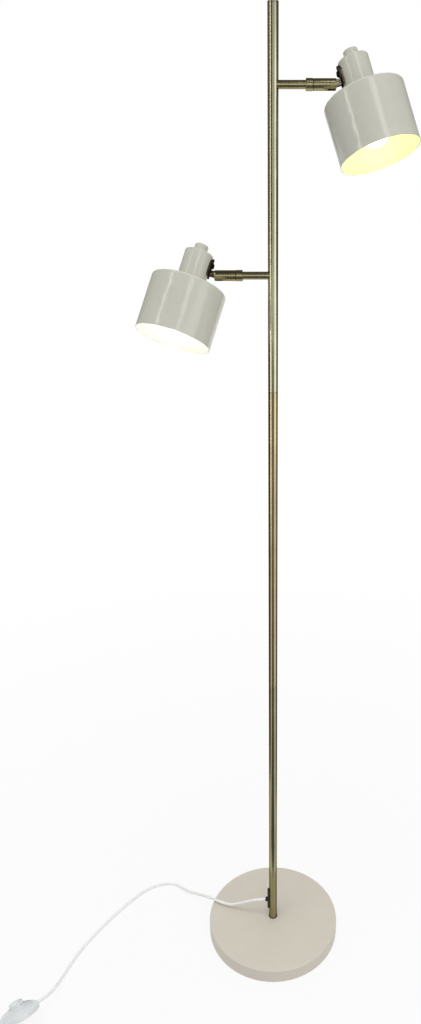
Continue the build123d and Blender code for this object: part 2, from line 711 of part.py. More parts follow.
        # small screw-cap holder: flange on the shade, threaded skirt through it
        with BuildSketch(shade_top):
            with BuildLine():
                Polyline(
                    (0, bulb_seat),
                    (BULB_CAP_DIAMETER / 2 + SEAT_GAP, bulb_seat),
                    (BULB_CAP_DIAMETER / 2 + SEAT_GAP, -HOLDER_SKIRT),
                    (HOLDER_DIAMETER / 2, -HOLDER_SKIRT),
                    (HOLDER_DIAMETER / 2, 0),
                    (HOLDER_FLANGE_DIAMETER / 2, 0),
                    (HOLDER_FLANGE_DIAMETER / 2, HOLDER_FLANGE),
                    (HOLDER_DIAMETER / 2, HOLDER_FLANGE),
                    (HOLDER_DIAMETER / 2, HOLDER_HEIGHT - HOLDER_SHOULDER),
                    (HOLDER_BOSS_DIAMETER / 2, HOLDER_HEIGHT - HOLDER_SHOULDER / 2),
                    (HOLDER_BOSS_DIAMETER / 2, HOLDER_HEIGHT),
                    (rod_hole, HOLDER_HEIGHT),
                    (rod_hole, HOLDER_HEIGHT - ROD_DEPTH - FACE_GAP),
                    (0, HOLDER_HEIGHT - ROD_DEPTH - FACE_GAP),
                    close=True,
                )
            make_face()
        revolve(axis=neck_axis)
    write_part(lampholder, f"{side}_lampholder")

    with BuildPart() as holder_ring:
        # the ring that screws up on the skirt and clamps the shade
        with BuildSketch(shade_top) as ring_section:
            with BuildLine():
                Polyline(
                    (HOLDER_DIAMETER / 2 + RUNNING_GAP, -SHADE_WALL),
                    (RING_DIAMETER / 2, -SHADE_WALL),
                    (RING_DIAMETER / 2, -SHADE_WALL - RING_HEIGHT / 2),
                    (RING_DIAMETER / 2 - RING_HEIGHT / 2, -SHADE_WALL - RING_HEIGHT),
                    (HOLDER_DIAMETER / 2 + RUNNING_GAP, -SHADE_WALL - RING_HEIGHT),
                    close=True,
                )
            make_face()
        revolve(axis=neck_axis)
    write_part(holder_ring, f"{side}_holder_ring")

    with BuildPart() as bulb_cap:
        with BuildSketch(shifted(neck_foot, z=-HOLDER_SKIRT)):
            Circle(BULB_CAP_DIAMETER / 2)
        extrude(amount=BULB_CAP_LENGTH)
        with BuildSketch(shifted(neck_foot, z=BULB_CAP_LENGTH - HOLDER_SKIRT)):
            Circle(BULB_CAP_DIAMETER / 4)
        extrude(amount=BULB_CONTACT_HEIGHT)
    write_part(bulb_cap, f"{side}_bulb_cap")

    def bulb_outline(inset):
        """Half the bulb's section: its neck, a cone and the round end."""
        radius = BULB_DIAMETER / 2 - inset
        centre = -HOLDER_SKIRT - BULB_NECK - BULB_DIAMETER / 2
        lean = math.radians(50)
        meeting = (radius * math.cos(lean), centre + radius * math.sin(lean))
        neck = BULB_NECK_DIAMETER / 2 - inset
        with BuildLine() as outline:
            Line((0, -HOLDER_SKIRT - inset), (neck, -HOLDER_SKIRT - inset))
            Line((neck, -HOLDER_SKIRT - inset), meeting)
            ThreePointArc(meeting, (radius, centre), (0, centre - radius))
            Line((0, centre - radius), (0, -HOLDER_SKIRT - inset))
        return outline.line

    with BuildPart() as bulb:
        # opal glass, golf-ball shape
        with BuildSketch(shade_top):
            with BuildLine():
                add(bulb_outline(0))
            make_face()
        revolve(axis=neck_axis)
        with BuildSketch(shade_top):
            with BuildLine():
                add(bulb_outline(BULB_GLASS))
            make_face()
        revolve(axis=neck_axis, mode=Mode.SUBTRACT)
    write_part(bulb, f"{side}_bulb")

# ---------------------------------------------------------------- leads inside the pole
LEAD_DIAMETER = 2.2
LEAD_OFFSET = 1.4
LEAD_BEND = 3.0
lead_start = OUTLET_ROUTE[0][0]
with BuildPart() as inner_leads:
    # the cord's two cores, one to each arm, up to the fork
    for side, way, height, turn in SIDES:
        y = -way * LEAD_OFFSET
        x = LEAD_OFFSET
        with BuildLine() as lead_route:
            FilletPolyline(
                (lead_start, y, OUTLET_HEIGHT),
                (x, y, OUTLET_HEIGHT),
                (x, y, height),
                (way * (slot_floor - LEAD_BEND), y, height),
                radius=LEAD_BEND,
            )
        with BuildSketch(Plane(origin=lead_route.line @ 0, z_dir=lead_route.line % 0)):
            Circle(LEAD_DIAMETER / 2)
        sweep(path=lead_route.line)
write_part(inner_leads, "inner_leads")

# ---------------------------------------------------------------- foot switch
heading, roll = math.radians(SWITCH_HEADING), math.radians(SWITCH_ROLL)
switch_radius = SWITCH_DIAMETER / 2
switch_lift = (switch_radius - SWITCH_EDGE) * math.sin(roll) + SWITCH_EDGE * (1 - math.cos(roll))
switch = Plane(
    origin=(SWITCH_X, SWITCH_Y, switch_lift),
    x_dir=(math.cos(heading), math.sin(heading), 0),
    z_dir=(
        -math.sin(roll) * math.sin(heading),
        math.sin(roll) * math.cos(heading),
        math.cos(roll),
    ),
)
switch_axis = vertical_axis(switch)
throat = BUTTON_DIAMETER / 2 + SEAT_GAP
collar_radius = throat + SWITCH_COLLAR
rim_top = SWITCH_LOWER + SWITCH_RIM
parting = SWITCH_LOWER + RUNNING_GAP
screw_places = [(0, -SWITCH_SCREW_SPACING / 2), (0, SWITCH_SCREW_SPACING / 2)]

with BuildPart() as switch_lower:
    # flat bottom shell
    with BuildSketch(switch):
        Circle(switch_radius)
    extrude(amount=SWITCH_LOWER)
    fillet(switch_lower.faces().sort_by(switch_axis)[0].edges(), SWITCH_EDGE)
    with BuildSketch(shifted(switch, z=SWITCH_WALL)):
        Circle(switch_radius - SWITCH_WALL)
    extrude(amount=SWITCH_LOWER, mode=Mode.SUBTRACT)
    with BuildSketch(switch):
        with Locations(screw_places):
            Circle(SWITCH_BOSS_DIAMETER / 2)
    extrude(amount=SWITCH_LOWER)
    with BuildSketch(switch):
        with Locations(screw_places):
            Circle(SWITCH_SCREW_HEAD / 2 + RUNNING_GAP)
    extrude(amount=SWITCH_WALL - SWITCH_SCREW_RECESS, mode=Mode.SUBTRACT)
    with BuildSketch(switch):
        with Locations(screw_places):
            Circle(SWITCH_SCREW_DIAMETER / 2 + RUNNING_GAP)
    extrude(amount=2 * SWITCH_LOWER, mode=Mode.SUBTRACT)
    with BuildSketch(across(switch, z=SWITCH_LOWER)):
        Circle(cord_hole)
    extrude(amount=SWITCH_DIAMETER, both=True, mode=Mode.SUBTRACT)
write_part(switch_lower, "switch_lower_shell")

with BuildPart() as switch_upper:
    # domed top shell with a throat for the button
    with BuildSketch(upright(switch)):
        with BuildLine():
            Line((switch_radius, parting), (switch_radius, rim_top))
            dome = RadiusArc((collar_radius, SWITCH_DOME), (switch_radius, rim_top), SWITCH_DOME_RADIUS)
            Polyline(
                dome @ 0,
                (collar_radius, SWITCH_DOME + SWITCH_THROAT),
                (throat, SWITCH_DOME + SWITCH_THROAT),
                (throat, SWITCH_DOME - SWITCH_WALL),
                (collar_radius, SWITCH_DOME - SWITCH_WALL),
            )
            inner_dome = RadiusArc(
                (collar_radius, SWITCH_DOME - SWITCH_WALL),
                (switch_radius - SWITCH_WALL, rim_top - SWITCH_WALL / 2),
                SWITCH_DOME_RADIUS,
            )
            Polyline(
                inner_dome @ 1,
                (switch_radius - SWITCH_WALL, parting),
                (switch_radius, parting),
            )
        make_face()
    revolve(axis=switch_axis)
    with BuildSketch(shifted(switch, z=parting)):
        with Locations(screw_places):
            Circle(SWITCH_BOSS_DIAMETER / 2)
    extrude(amount=SWITCH_BOSS_TOP - parting)
    with BuildSketch(shifted(switch, z=parting)):
        with Locations(screw_places):
            Circle(SWITCH_SCREW_DIAMETER / 2 + RUNNING_GAP)
    extrude(amount=SWITCH_LOWER, mode=Mode.SUBTRACT)
    with BuildSketch(across(switch, z=SWITCH_LOWER)):
        Circle(cord_hole)
    extrude(amount=SWITCH_DIAMETER, both=True, mode=Mode.SUBTRACT)
write_part(switch_upper, "switch_upper_shell")

button_flange_bottom = SWITCH_DOME - SWITCH_WALL - FACE_GAP - BUTTON_FLANGE
flange_radius = BUTTON_DIAMETER / 2 + BUTTON_WALL
with BuildPart() as switch_button:
    # hollow push button; the flange keeps it in the throat
    with BuildSketch(upright(switch)) as button_section:
        with BuildLine():
            Polyline(
                (0, BUTTON_TOP),
                (BUTTON_DIAMETER / 2, BUTTON_TOP),
                (BUTTON_DIAMETER / 2, button_flange_bottom + BUTTON_FLANGE),
                (flange_radius, button_flange_bottom + BUTTON_FLANGE),
                (flange_radius, button_flange_bottom),
                (BUTTON_DIAMETER / 2 - BUTTON_WALL, button_flange_bottom),
                (BUTTON_DIAMETER / 2 - BUTTON_WALL, BUTTON_TOP - BUTTON_WALL),
                (0, BUTTON_TOP - BUTTON_WALL),
                close=True,
            )
        make_face()
        top_edge = button_section.vertices().sort_by_distance((BUTTON_DIAMETER / 2, BUTTON_TOP))[0]
        fillet(top_edge, BUTTON_WALL * 0.8)
    revolve(axis=switch_axis)
write_part(switch_button, "switch_button")

block_top = SWITCH_WALL + BLOCK_HEIGHT
spring_seat = 1.5
with BuildPart() as switch_block:
    # contact block between the two cord ends
    with BuildSketch(shifted(switch, z=SWITCH_WALL)):
        Rectangle(BLOCK_LENGTH, BLOCK_WIDTH)
    extrude(amount=BLOCK_HEIGHT)
    with BuildSketch(shifted(switch, z=block_top)):
        Circle(SPRING_DIAMETER / 2 - SPRING_WIRE - SEAT_GAP)
    extrude(amount=spring_seat)
write_part(switch_block, "switch_contact_block")

spring_height = BUTTON_TOP - BUTTON_WALL - BUTTON_TRAVEL - block_top - SPRING_WIRE - 2 * SEAT_GAP
spring_start = block_top + SPRING_WIRE / 2 + SEAT_GAP / 2
with BuildPart() as switch_spring:
    # return spring, drawn at its pressed length
    with BuildLine() as spring_line:
        Helix(
            spring_height / SPRING_TURNS,
            spring_height,
            (SPRING_DIAMETER - SPRING_WIRE) / 2,
            center=shifted(switch, z=spring_start).origin,
            direction=switch.z_dir,
        )
    with BuildSketch(Plane(origin=spring_line.line @ 0, z_dir=spring_line.line % 0)):
        RegularPolygon(SPRING_WIRE / 2, 6)
    sweep(path=spring_line.line, is_frenet=True)
write_part(switch_spring, "switch_spring")

with BuildPart() as switch_screws:
    with BuildSketch(shifted(switch, z=FACE_GAP)):
        with Locations(screw_places):
            Circle(SWITCH_SCREW_HEAD / 2)
    extrude(amount=SWITCH_WALL - SWITCH_SCREW_RECESS - FACE_GAP)
    with BuildSketch(shifted(switch, z=SWITCH_WALL - SWITCH_SCREW_RECESS)):
        with Locations(screw_places):
            Circle(SWITCH_SCREW_DIAMETER / 2)
    extrude(amount=SWITCH_LOWER)
write_part(switch_screws, "switch_screws")

# ---------------------------------------------------------------- free cord


def corner_radii(points):
    """For each corner, 0.45 of its shorter run over the tangent of half its turn."""
    radii = []
    for before, corner, after in zip(points, points[1:], points[2:]):
        first = Vector(*corner) - Vector(*before)
        second = Vector(*after) - Vector(*corner)
        half_turn = math.radians(first.get_angle(second)) / 2
        radii.append(0.45 * min(first.length, second.length) / math.tan(half_turn))
    return radii


def cord_tube(points, name):
    """A round cord along straight runs and tangent arcs. Prints what a cable designer checks."""
    radii = corner_radii(points)
    with BuildPart() as tube:
        with BuildLine() as route:
            FilletPolyline(*points, radius=radii)
        wire = route.wires()[0]
        with BuildSketch(Plane(origin=wire @ 0, z_dir=wire % 0)):
            Circle(cord_radius)
        sweep(path=wire)
    length = wire.length
    runs = [(Vector(*b) - Vector(*a)).length for a, b in zip(points, points[1:])]
    plain = math.pi * cord_radius**2 * length
    print(name, "length", round(length, 1), "volume ratio", round(tube.part.volume / plain, 5))
    print("  runs", [round(run, 1) for run in runs])
    print("  radii", [round(radius, 1) for radius in radii], "least", round(min(radii), 1))
    return tube


switch_cord = shifted(switch, z=SWITCH_LOWER)
block_half = BLOCK_LENGTH / 2


def on_switch_cord(distance):
    """A point on the cord's line through the switch, that far from its middle towards the lamp."""
    return tuple(switch_cord.from_local_coords((distance, 0, 0)))


cord_to_switch_points = OUTLET_ROUTE + [
    on_switch_cord(block_half + SWITCH_RUN),
    on_switch_cord(block_half),
]
cord_to_switch = cord_tube(cord_to_switch_points, "cord_to_switch")
write_part(cord_to_switch, "cord_to_switch")

# ---------------------------------------------------------------- coil of spare cord
coil_way = Vector(-math.cos(heading), -math.sin(heading), 0)  # the cord arrives along this
coil_out = Vector(-coil_way.Y, coil_way.X, 0) * -1  # from the coil's centre to its outer start
coil_centre = Vector(COIL_X, COIL_Y, 0)
coil_foot = TIE_THICKNESS + SEAT_GAP
lower_layer = Vector(0, 0, coil_foot + cord_radius)
upper_layer = lower_layer + Vector(0, 0, COIL_PITCH)
half_pitch = COIL_PITCH / 2
coil_inner_radius = COIL_OUTER_RADIUS - COIL_TURNS * COIL_PITCH


def coil_point(outward, along, layer, centre_shift=0.0):
    """A point of the coil, from its centre along coil_out and coil_way."""
    return coil_centre + layer + coil_out * (outward + centre_shift) + coil_way * along


def half_turn(radius, centre_shift, layer, side):
    """Half a turn, anticlockwise from one side of the coil to the other. side is 1 or -1."""
    return ThreePointArc(
        coil_point(side * radius, 0, layer, centre_shift),
        coil_point(0, side * radius, layer, centre_shift),
        coil_point(-side * radius, 0, layer, centre_shift),
    )


with BuildPart() as cord_coil:
    with BuildLine() as coil_line:
        # in along the lower layer, up in the innermost half turn, out along the upper layer
        Line(
            coil_point(COIL_OUTER_RADIUS, -CORD_DIAMETER, lower_layer),
            coil_point(COIL_OUTER_RADIUS, 0, lower_layer),
        )
        for step in range(2 * COIL_TURNS):
            side = 1 if step % 2 == 0 else -1
            shift = 0 if step % 2 == 0 else -half_pitch
            half_turn(COIL_OUTER_RADIUS - step * half_pitch, shift, lower_layer, side)
        climb_radius = math.hypot(coil_inner_radius, COIL_PITCH / 2)
        middle_layer = (lower_layer + upper_layer) * 0.5
        climb = TangentArc(
            coil_point(coil_inner_radius, 0, lower_layer),
            coil_point(0, climb_radius, middle_layer),
            tangent=coil_way,
        )
        TangentArc(climb @ 1, coil_point(-coil_inner_radius, 0, upper_layer), tangent=climb % 1)
        for step in range(1, 2 * COIL_TURNS + 1):
            side = -1 if step % 2 == 1 else 1
            shift = half_pitch if step % 2 == 1 else 0
            half_turn(coil_inner_radius + step * half_pitch, shift, upper_layer, side)
        Line(
            coil_point(-COIL_OUTER_RADIUS, 0, upper_layer),
            coil_point(-COIL_OUTER_RADIUS, -CORD_DIAMETER, upper_layer),
        )
    coil_wire = coil_line.wires()[0]
    with BuildSketch(Plane(origin=coil_wire @ 0, z_dir=coil_wire % 0)):
        Circle(cord_radius)
    sweep(path=coil_wire)
write_part(cord_coil, "cord_coil")

coil_length = coil_wire.length
samples = [coil_wire @ (i / 700) for i in range(701)]
step_length = coil_length / 700
apart = int(3 * CORD_DIAMETER / step_length) + 1
least_gap = min(
    (samples[i] - samples[j]).length for i in range(701) for j in range(i + apart, 701)
) - CORD_DIAMETER
coil_plain = math.pi * cord_radius**2 * coil_length
coil_ratio = cord_coil.part.volume / coil_plain
print("cord_coil length", round(coil_length, 1), "volume ratio", round(coil_ratio, 5))
print("  least gap of the coil to itself", round(least_gap, 3))

coil_start = coil_wire @ 0
coil_finish = coil_wire @ 1
coil_lead_points = [
    on_switch_cord(-block_half),
    on_switch_cord(-block_half - SWITCH_RUN),
    *COIL_LEAD_POINTS,
    tuple(coil_start - coil_way * COIL_RUN),
    tuple(coil_start),
]
cord_to_coil = cord_tube(coil_lead_points, "cord_to_coil")
write_part(cord_to_coil, "cord_to_coil")

with BuildPart() as coil_tie:
    # a flat band round all turns
    tie_inner = coil_inner_radius + half_pitch - cord_radius - 3 * SEAT_GAP
    tie_outer = COIL_OUTER_RADIUS - half_pitch + cord_radius + SEAT_GAP
    tie_low = TIE_THICKNESS
    tie_high = coil_foot + COIL_PITCH + CORD_DIAMETER + SEAT_GAP
    tie_frame = Plane(
        origin=coil_centre
        - coil_way * ((tie_inner + tie_outer) / 2)
        + Vector(0, 0, (tie_low + tie_high) / 2),
        x_dir=coil_way,
        z_dir=coil_out,
    )
    with BuildSketch(tie_frame):
        RectangleRounded(
            tie_outer - tie_inner + 2 * TIE_THICKNESS, tie_high - tie_low + 2 * TIE_THICKNESS, 3.0
        )
        RectangleRounded(tie_outer - tie_inner, tie_high - tie_low, 2.0, mode=Mode.SUBTRACT)
    extrude(amount=TIE_WIDTH / 2, both=True)
write_part(coil_tie, "coil_tie")

# ---------------------------------------------------------------- plug
plug_turn = math.radians(PLUG_HEADING)
plug = Plane(
    origin=(PLUG_X, PLUG_Y, PLUG_THICKNESS / 2),
    x_dir=(math.cos(plug_turn), math.sin(plug_turn), 0),
    z_dir=(0, 0, 1),
)
with BuildPart() as plug_body:
    # flat two-pin body, tapered tail for the cord
    with BuildSketch(shifted(plug, z=-PLUG_THICKNESS / 2)):
        with BuildLine():
            Polyline(
                (0, PLUG_REAR_WIDTH / 2),
                (PLUG_LENGTH * 0.25, PLUG_REAR_WIDTH / 2 + 2.0),
                (PLUG_LENGTH * 0.7, PLUG_WIDTH / 2),
                (PLUG_LENGTH, PLUG_WIDTH / 2),
                (PLUG_LENGTH, -PLUG_WIDTH / 2),
                (PLUG_LENGTH * 0.7, -PLUG_WIDTH / 2),
                (PLUG_LENGTH * 0.25, -PLUG_REAR_WIDTH / 2 - 2.0),
                (0, -PLUG_REAR_WIDTH / 2),
                close=True,
            )
        make_face()
    extrude(amount=PLUG_THICKNESS)
    flat_faces = plug_body.faces().sort_by(Axis.Z)
    long_edges = flat_faces[-1].edges() + flat_faces[0].edges()
    fillet(long_edges, PLUG_EDGE)
    with BuildSketch(upright(plug)):
        with BuildLine():
            Polyline(
                (-PLUG_TAIL, 0),
                (-PLUG_TAIL, cord_radius + 0.9),
                (0, PLUG_THICKNESS / 2 - 1.6),
                (2, PLUG_THICKNESS / 2 - 1.6),
                (2, 0),
                close=True,
            )
        make_face()
    revolve(axis=length_axis(plug))
    # drilled for the roots of the pins
    with BuildSketch(across(plug, x=PLUG_LENGTH)):
        with Locations((-PLUG_PIN_SPACING / 2, 0), (PLUG_PIN_SPACING / 2, 0)):
            Circle(PLUG_PIN_DIAMETER / 2 + RUNNING_GAP)
    extrude(amount=-PLUG_PIN_SLEEVE, mode=Mode.SUBTRACT)
write_part(plug_body, "plug_body")

with BuildPart() as plug_pins:
    for y in (-PLUG_PIN_SPACING / 2, PLUG_PIN_SPACING / 2):
        with BuildSketch(across(shifted(plug, y=y), x=PLUG_LENGTH - PLUG_PIN_SLEEVE)):
            Circle(PLUG_PIN_DIAMETER / 2)
        extrude(amount=PLUG_PIN_SLEEVE + PLUG_PIN_LENGTH)
    fillet(plug_pins.faces().group_by(length_axis(plug))[-1].edges(), PLUG_PIN_DIAMETER * 0.4)
write_part(plug_pins, "plug_pins")

plug_tail = plug.from_local_coords((-PLUG_TAIL, 0, 0))
plug_lead_points = [
    tuple(coil_finish),
    tuple(coil_finish - coil_way * COIL_RUN),
    *PLUG_LEAD_POINTS,
    tuple(plug.from_local_coords((-PLUG_TAIL - COIL_RUN, 0, 0))),
    tuple(plug_tail),
]
cord_to_plug = cord_tube(plug_lead_points, "cord_to_plug")
write_part(cord_to_plug, "cord_to_plug")
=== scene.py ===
# %% [markdown]
# # A floor lamp with two turning spot heads
#
# The lamp is a round enamelled foot, a slim brass pole in three tubes and two small spot heads
# on short arms. This file dresses the exact model of its parts: it gives each part the surface
# that its maker gave it, lays the cord on the floor in soft curves, and lights it like a
# product photograph on white paper.
#
# Everything is in metres, +Z up, with the origin under the pole, on the floor.

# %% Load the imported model
import math

import bpy
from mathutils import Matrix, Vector


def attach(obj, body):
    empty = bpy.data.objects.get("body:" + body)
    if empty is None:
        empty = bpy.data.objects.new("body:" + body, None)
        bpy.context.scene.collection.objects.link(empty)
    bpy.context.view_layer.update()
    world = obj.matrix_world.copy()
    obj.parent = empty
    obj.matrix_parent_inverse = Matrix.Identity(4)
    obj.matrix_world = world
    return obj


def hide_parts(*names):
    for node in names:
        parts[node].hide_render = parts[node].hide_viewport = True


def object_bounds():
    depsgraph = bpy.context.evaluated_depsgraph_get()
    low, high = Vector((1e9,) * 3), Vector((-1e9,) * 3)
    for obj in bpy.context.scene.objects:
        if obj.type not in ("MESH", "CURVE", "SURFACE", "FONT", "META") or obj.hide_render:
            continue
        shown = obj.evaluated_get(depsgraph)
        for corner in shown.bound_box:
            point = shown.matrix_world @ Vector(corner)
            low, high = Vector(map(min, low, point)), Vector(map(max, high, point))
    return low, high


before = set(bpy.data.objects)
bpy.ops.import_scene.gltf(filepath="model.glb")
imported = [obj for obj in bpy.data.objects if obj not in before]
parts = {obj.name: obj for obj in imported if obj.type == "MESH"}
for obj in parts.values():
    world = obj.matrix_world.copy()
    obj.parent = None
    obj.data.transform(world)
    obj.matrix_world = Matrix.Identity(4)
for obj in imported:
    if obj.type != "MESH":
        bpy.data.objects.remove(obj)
cad_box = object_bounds()
print(len(parts), "parts, in a box with these two corners:")
for corner in cad_box:
    print([round(v, 3) for v in corner])

# %% [markdown]
# ## Small helpers
#
# Colours are written as sRGB hex values, the way a paint chart gives them, and one function
# turns them to the linear values that shaders work in. A second function adds a shader node
# with its settings and its links, so that each material below reads as a short recipe.

# %% Colours, lengths and nodes
MM = 0.001


def colour(code):
    """The linear colour of an sRGB hex value such as "D2CBBE"."""
    channels = [int(code[i : i + 2], 16) / 255 for i in (0, 2, 4)]
    linear = [c / 12.92 if c <= 0.04045 else ((c + 0.055) / 1.055) ** 2.4 for c in channels]
    return (*linear, 1.0)


def add(tree, kind, inputs=None, **settings):
    """Adds one node. An input's value may be a number, a colour or another node's output."""
    made = tree.nodes.new(kind)
    for name, value in settings.items():
        setattr(made, name, value)
    for name, value in (inputs or {}).items():
        if isinstance(value, bpy.types.NodeSocket):
            tree.links.new(value, made.inputs[name])
        elif made.inputs[name].type == "VECTOR":
            made.inputs[name].default_value = value[:3]
        else:
            made.inputs[name].default_value = value
    return made


def new_material(name):
    """An empty node material with its output, ready for a recipe."""
    material = bpy.data.materials.new(name)
    material.use_nodes = True
    material.node_tree.nodes.clear()
    return material, material.node_tree


def finish_material(tree, shader):
    """Links the last shader to the material's output."""
    add(tree, "ShaderNodeOutputMaterial", {"Surface": shader})


def ramp(tree, factor, stops):
    """A colour ramp from (place, colour) stops."""
    made = add(tree, "ShaderNodeValToRGB", {"Fac": factor})
    while len(made.color_ramp.elements) < len(stops):
        made.color_ramp.elements.new(0.5)
    for element, (place, shade) in zip(made.color_ramp.elements, stops):
        element.position = place
        element.color = shade
    return made.outputs["Color"]


def wear(material, *names):
    """Gives CAD parts a material."""
    for name in names:
        slots = parts[name].data.materials
        slots.clear()
        slots.append(material)
    print(material.name, "on", len(names), "parts")


def both(*names):
    """The names of the right and left copies of some parts."""
    return [f"{side}_{name}" for side in ("right", "left") for name in names]


print("the middle grey 808080 is", round(colour("808080")[0], 3), "in linear light")

# %% [markdown]
# ## The camera
#
# The photograph was taken from about 1.1 m in front of the pole and 1.25 m up, looking down by
# 20 degrees, with a wide lens. The pole isn't in the middle of the picture, so the view is moved
# sideways a little with the camera's shift.

# %% Camera
VIEW_LONG_SIDE = 1024
FOCAL_PIXELS = 785.0
CENTRE_OFFSET_PIXELS = 62.5
CAMERA_PLACE = (0.0, -1.1204, 1.2441)
CAMERA_DOWN_DEGREES = 20.223
camera_data = bpy.data.cameras.new("camera")
camera_data.lens = FOCAL_PIXELS / VIEW_LONG_SIDE * camera_data.sensor_width
camera_data.shift_x = -CENTRE_OFFSET_PIXELS / VIEW_LONG_SIDE
camera = bpy.data.objects.new("camera", camera_data)
camera.location = CAMERA_PLACE
camera.rotation_euler = (math.radians(90 - CAMERA_DOWN_DEGREES), 0, 0)
bpy.context.scene.collection.objects.link(camera)
bpy.context.scene.camera = camera
print("lens", round(camera_data.lens, 2), "mm")

# %% [markdown]
# ## The cord
#
# The cord is one length of soft white cable, 5 mm thick. It leaves the rubber boot on the pole,
# crosses the foot's edge, runs over the floor in a loose bend and climbs into the foot switch.
# Behind the switch, out of the picture, the rest is wound into a coil that ends at the plug.
# Each stretch is a NURBS curve: its points only pull the curve towards them, so that it bends
# the way a cable does, without corners. Each point carries the cable's radius, and the bevel is
# one whole radius deep, because Blender counts a point's radius in the curve's size.

# %% Route of the cord, from the boot to the switch
CORD_DIAMETER = 0.005
ROUTE_TO_SWITCH = [
    (-0.0030, 0.0000, 0.0650),
    (-0.0190, 0.0000, 0.0650),
    (-0.0430, 0.0040, 0.0565),
    (-0.0640, 0.0110, 0.0425),
    (-0.0810, 0.0170, 0.0325),
    (-0.1000, 0.0240, 0.0325),
    (-0.1205, 0.0345, 0.0325),
    (-0.1419, 0.0539, 0.0195),
    (-0.1631, 0.0691, 0.0100),
    (-0.1820, 0.0865, 0.0036),
    (-0.1990, 0.0980, 0.0026),
    (-0.2280, 0.0950, 0.0026),
    (-0.2550, 0.0785, 0.0026),
    (-0.2786, 0.0520, 0.0026),
    (-0.3030, 0.0200, 0.0026),
    (-0.3300, -0.0205, 0.0026),
    (-0.3510, -0.0590, 0.0026),
    (-0.3630, -0.0930, 0.0032),
    (-0.3690, -0.1220, 0.0090),
    (-0.3735, -0.1470, 0.0190),
]

# The switch stands on its rim, rolled about the cord by the cord's own twist.
SWITCH_CENTRE = Vector((-0.4157, -0.1967, 0.01973))  # of its underside
SWITCH_PARTING = 0.0045  # between its two shells, where the cord goes through
SWITCH_HEADING = math.radians(39.8)
SWITCH_ROLL = math.radians(37.6)
switch_along = Vector((math.cos(SWITCH_HEADING), math.sin(SWITCH_HEADING), 0))
switch_up = Vector(
    (
        -math.sin(SWITCH_ROLL) * math.sin(SWITCH_HEADING),
        math.sin(SWITCH_ROLL) * math.cos(SWITCH_HEADING),
        math.cos(SWITCH_ROLL),
    )
)
cord_in_switch = SWITCH_CENTRE + switch_up * SWITCH_PARTING
HALF_BLOCK = 0.022  # of the contact block that the cord ends in
SWITCH_RUN = 0.024  # of cord, straight out of the block on both sides
ROUTE_TO_SWITCH.append(tuple(cord_in_switch + switch_along * (HALF_BLOCK + SWITCH_RUN)))
ROUTE_TO_SWITCH.append(tuple(cord_in_switch + switch_along * HALF_BLOCK))
print(len(ROUTE_TO_SWITCH), "points, the last at", [round(v, 4) for v in ROUTE_TO_SWITCH[-1]])

# %% Route of the cord, from the switch through the coil to the plug
COIL_CENTRE = Vector((-0.4873, -0.3029, 0.0038))
COIL_RADIUS = 0.03575
COIL_PITCH = 0.0055
COIL_TURNS = 3
STEPS = 10  # points in each half turn
COIL_RUN = 0.022  # of cord, straight into the coil, out of it and into the plug
along = -switch_along
outward = Vector((along.y, -along.x, 0))


def half_turn(radius, shift, side, height, climb=0.0):
    """Points of half a turn of the coil, from one side to the other."""
    stretch = 1 / math.cos(math.pi / STEPS / 2) ** 1.5  # a NURBS curve runs inside its points
    points = []
    for i in range(STEPS):
        turn = math.pi * (i + 0.5) / STEPS
        r = radius * stretch
        place = outward * (side * r * math.cos(turn) + shift) + along * (side * r * math.sin(turn))
        rise = height + climb * (1 - math.cos(turn)) / 2
        points.append(tuple(COIL_CENTRE + place + Vector((0, 0, rise))))
    return points


coil_start = COIL_CENTRE + outward * COIL_RADIUS - along * CORD_DIAMETER
coil_end = COIL_CENTRE - outward * COIL_RADIUS - along * CORD_DIAMETER + Vector((0, 0, COIL_PITCH))
PLUG_CENTRE = Vector((-0.3610, -0.2781, 0.00685))
PLUG_HEADING = math.radians(19.0)
PLUG_TAIL = 0.018
plug_along = Vector((math.cos(PLUG_HEADING), math.sin(PLUG_HEADING), 0))

ROUTE_TO_PLUG = [
    tuple(cord_in_switch - switch_along * HALF_BLOCK),
    tuple(cord_in_switch - switch_along * (HALF_BLOCK + SWITCH_RUN)),
    (-0.4705, -0.2405, 0.0160),
    tuple(coil_start - along * COIL_RUN),
    tuple(coil_start),
]
half_pitch = COIL_PITCH / 2
for step in range(2 * COIL_TURNS):
    inwards = step % 2
    ROUTE_TO_PLUG += half_turn(
        COIL_RADIUS - step * half_pitch, -half_pitch * inwards, side=1 - 2 * inwards, height=0.0
    )
inner_radius = COIL_RADIUS - COIL_TURNS * COIL_PITCH
ROUTE_TO_PLUG += half_turn(inner_radius, shift=0.0, side=1, height=0.0, climb=COIL_PITCH)
for step in range(1, 2 * COIL_TURNS + 1):
    outwards = step % 2
    ROUTE_TO_PLUG += half_turn(
        inner_radius + step * half_pitch,
        half_pitch * outwards,
        side=1 - 2 * outwards,
        height=COIL_PITCH,
    )
ROUTE_TO_PLUG += [
    tuple(coil_end),
    tuple(coil_end - along * COIL_RUN),
    (-0.4240, -0.3010, 0.0042),
    tuple(PLUG_CENTRE - plug_along * (PLUG_TAIL + COIL_RUN)),
    tuple(PLUG_CENTRE - plug_along * PLUG_TAIL),
]
print(len(ROUTE_TO_PLUG), "points, the last at", [round(v, 4) for v in ROUTE_TO_PLUG[-1]])

# %% Curves of the cord


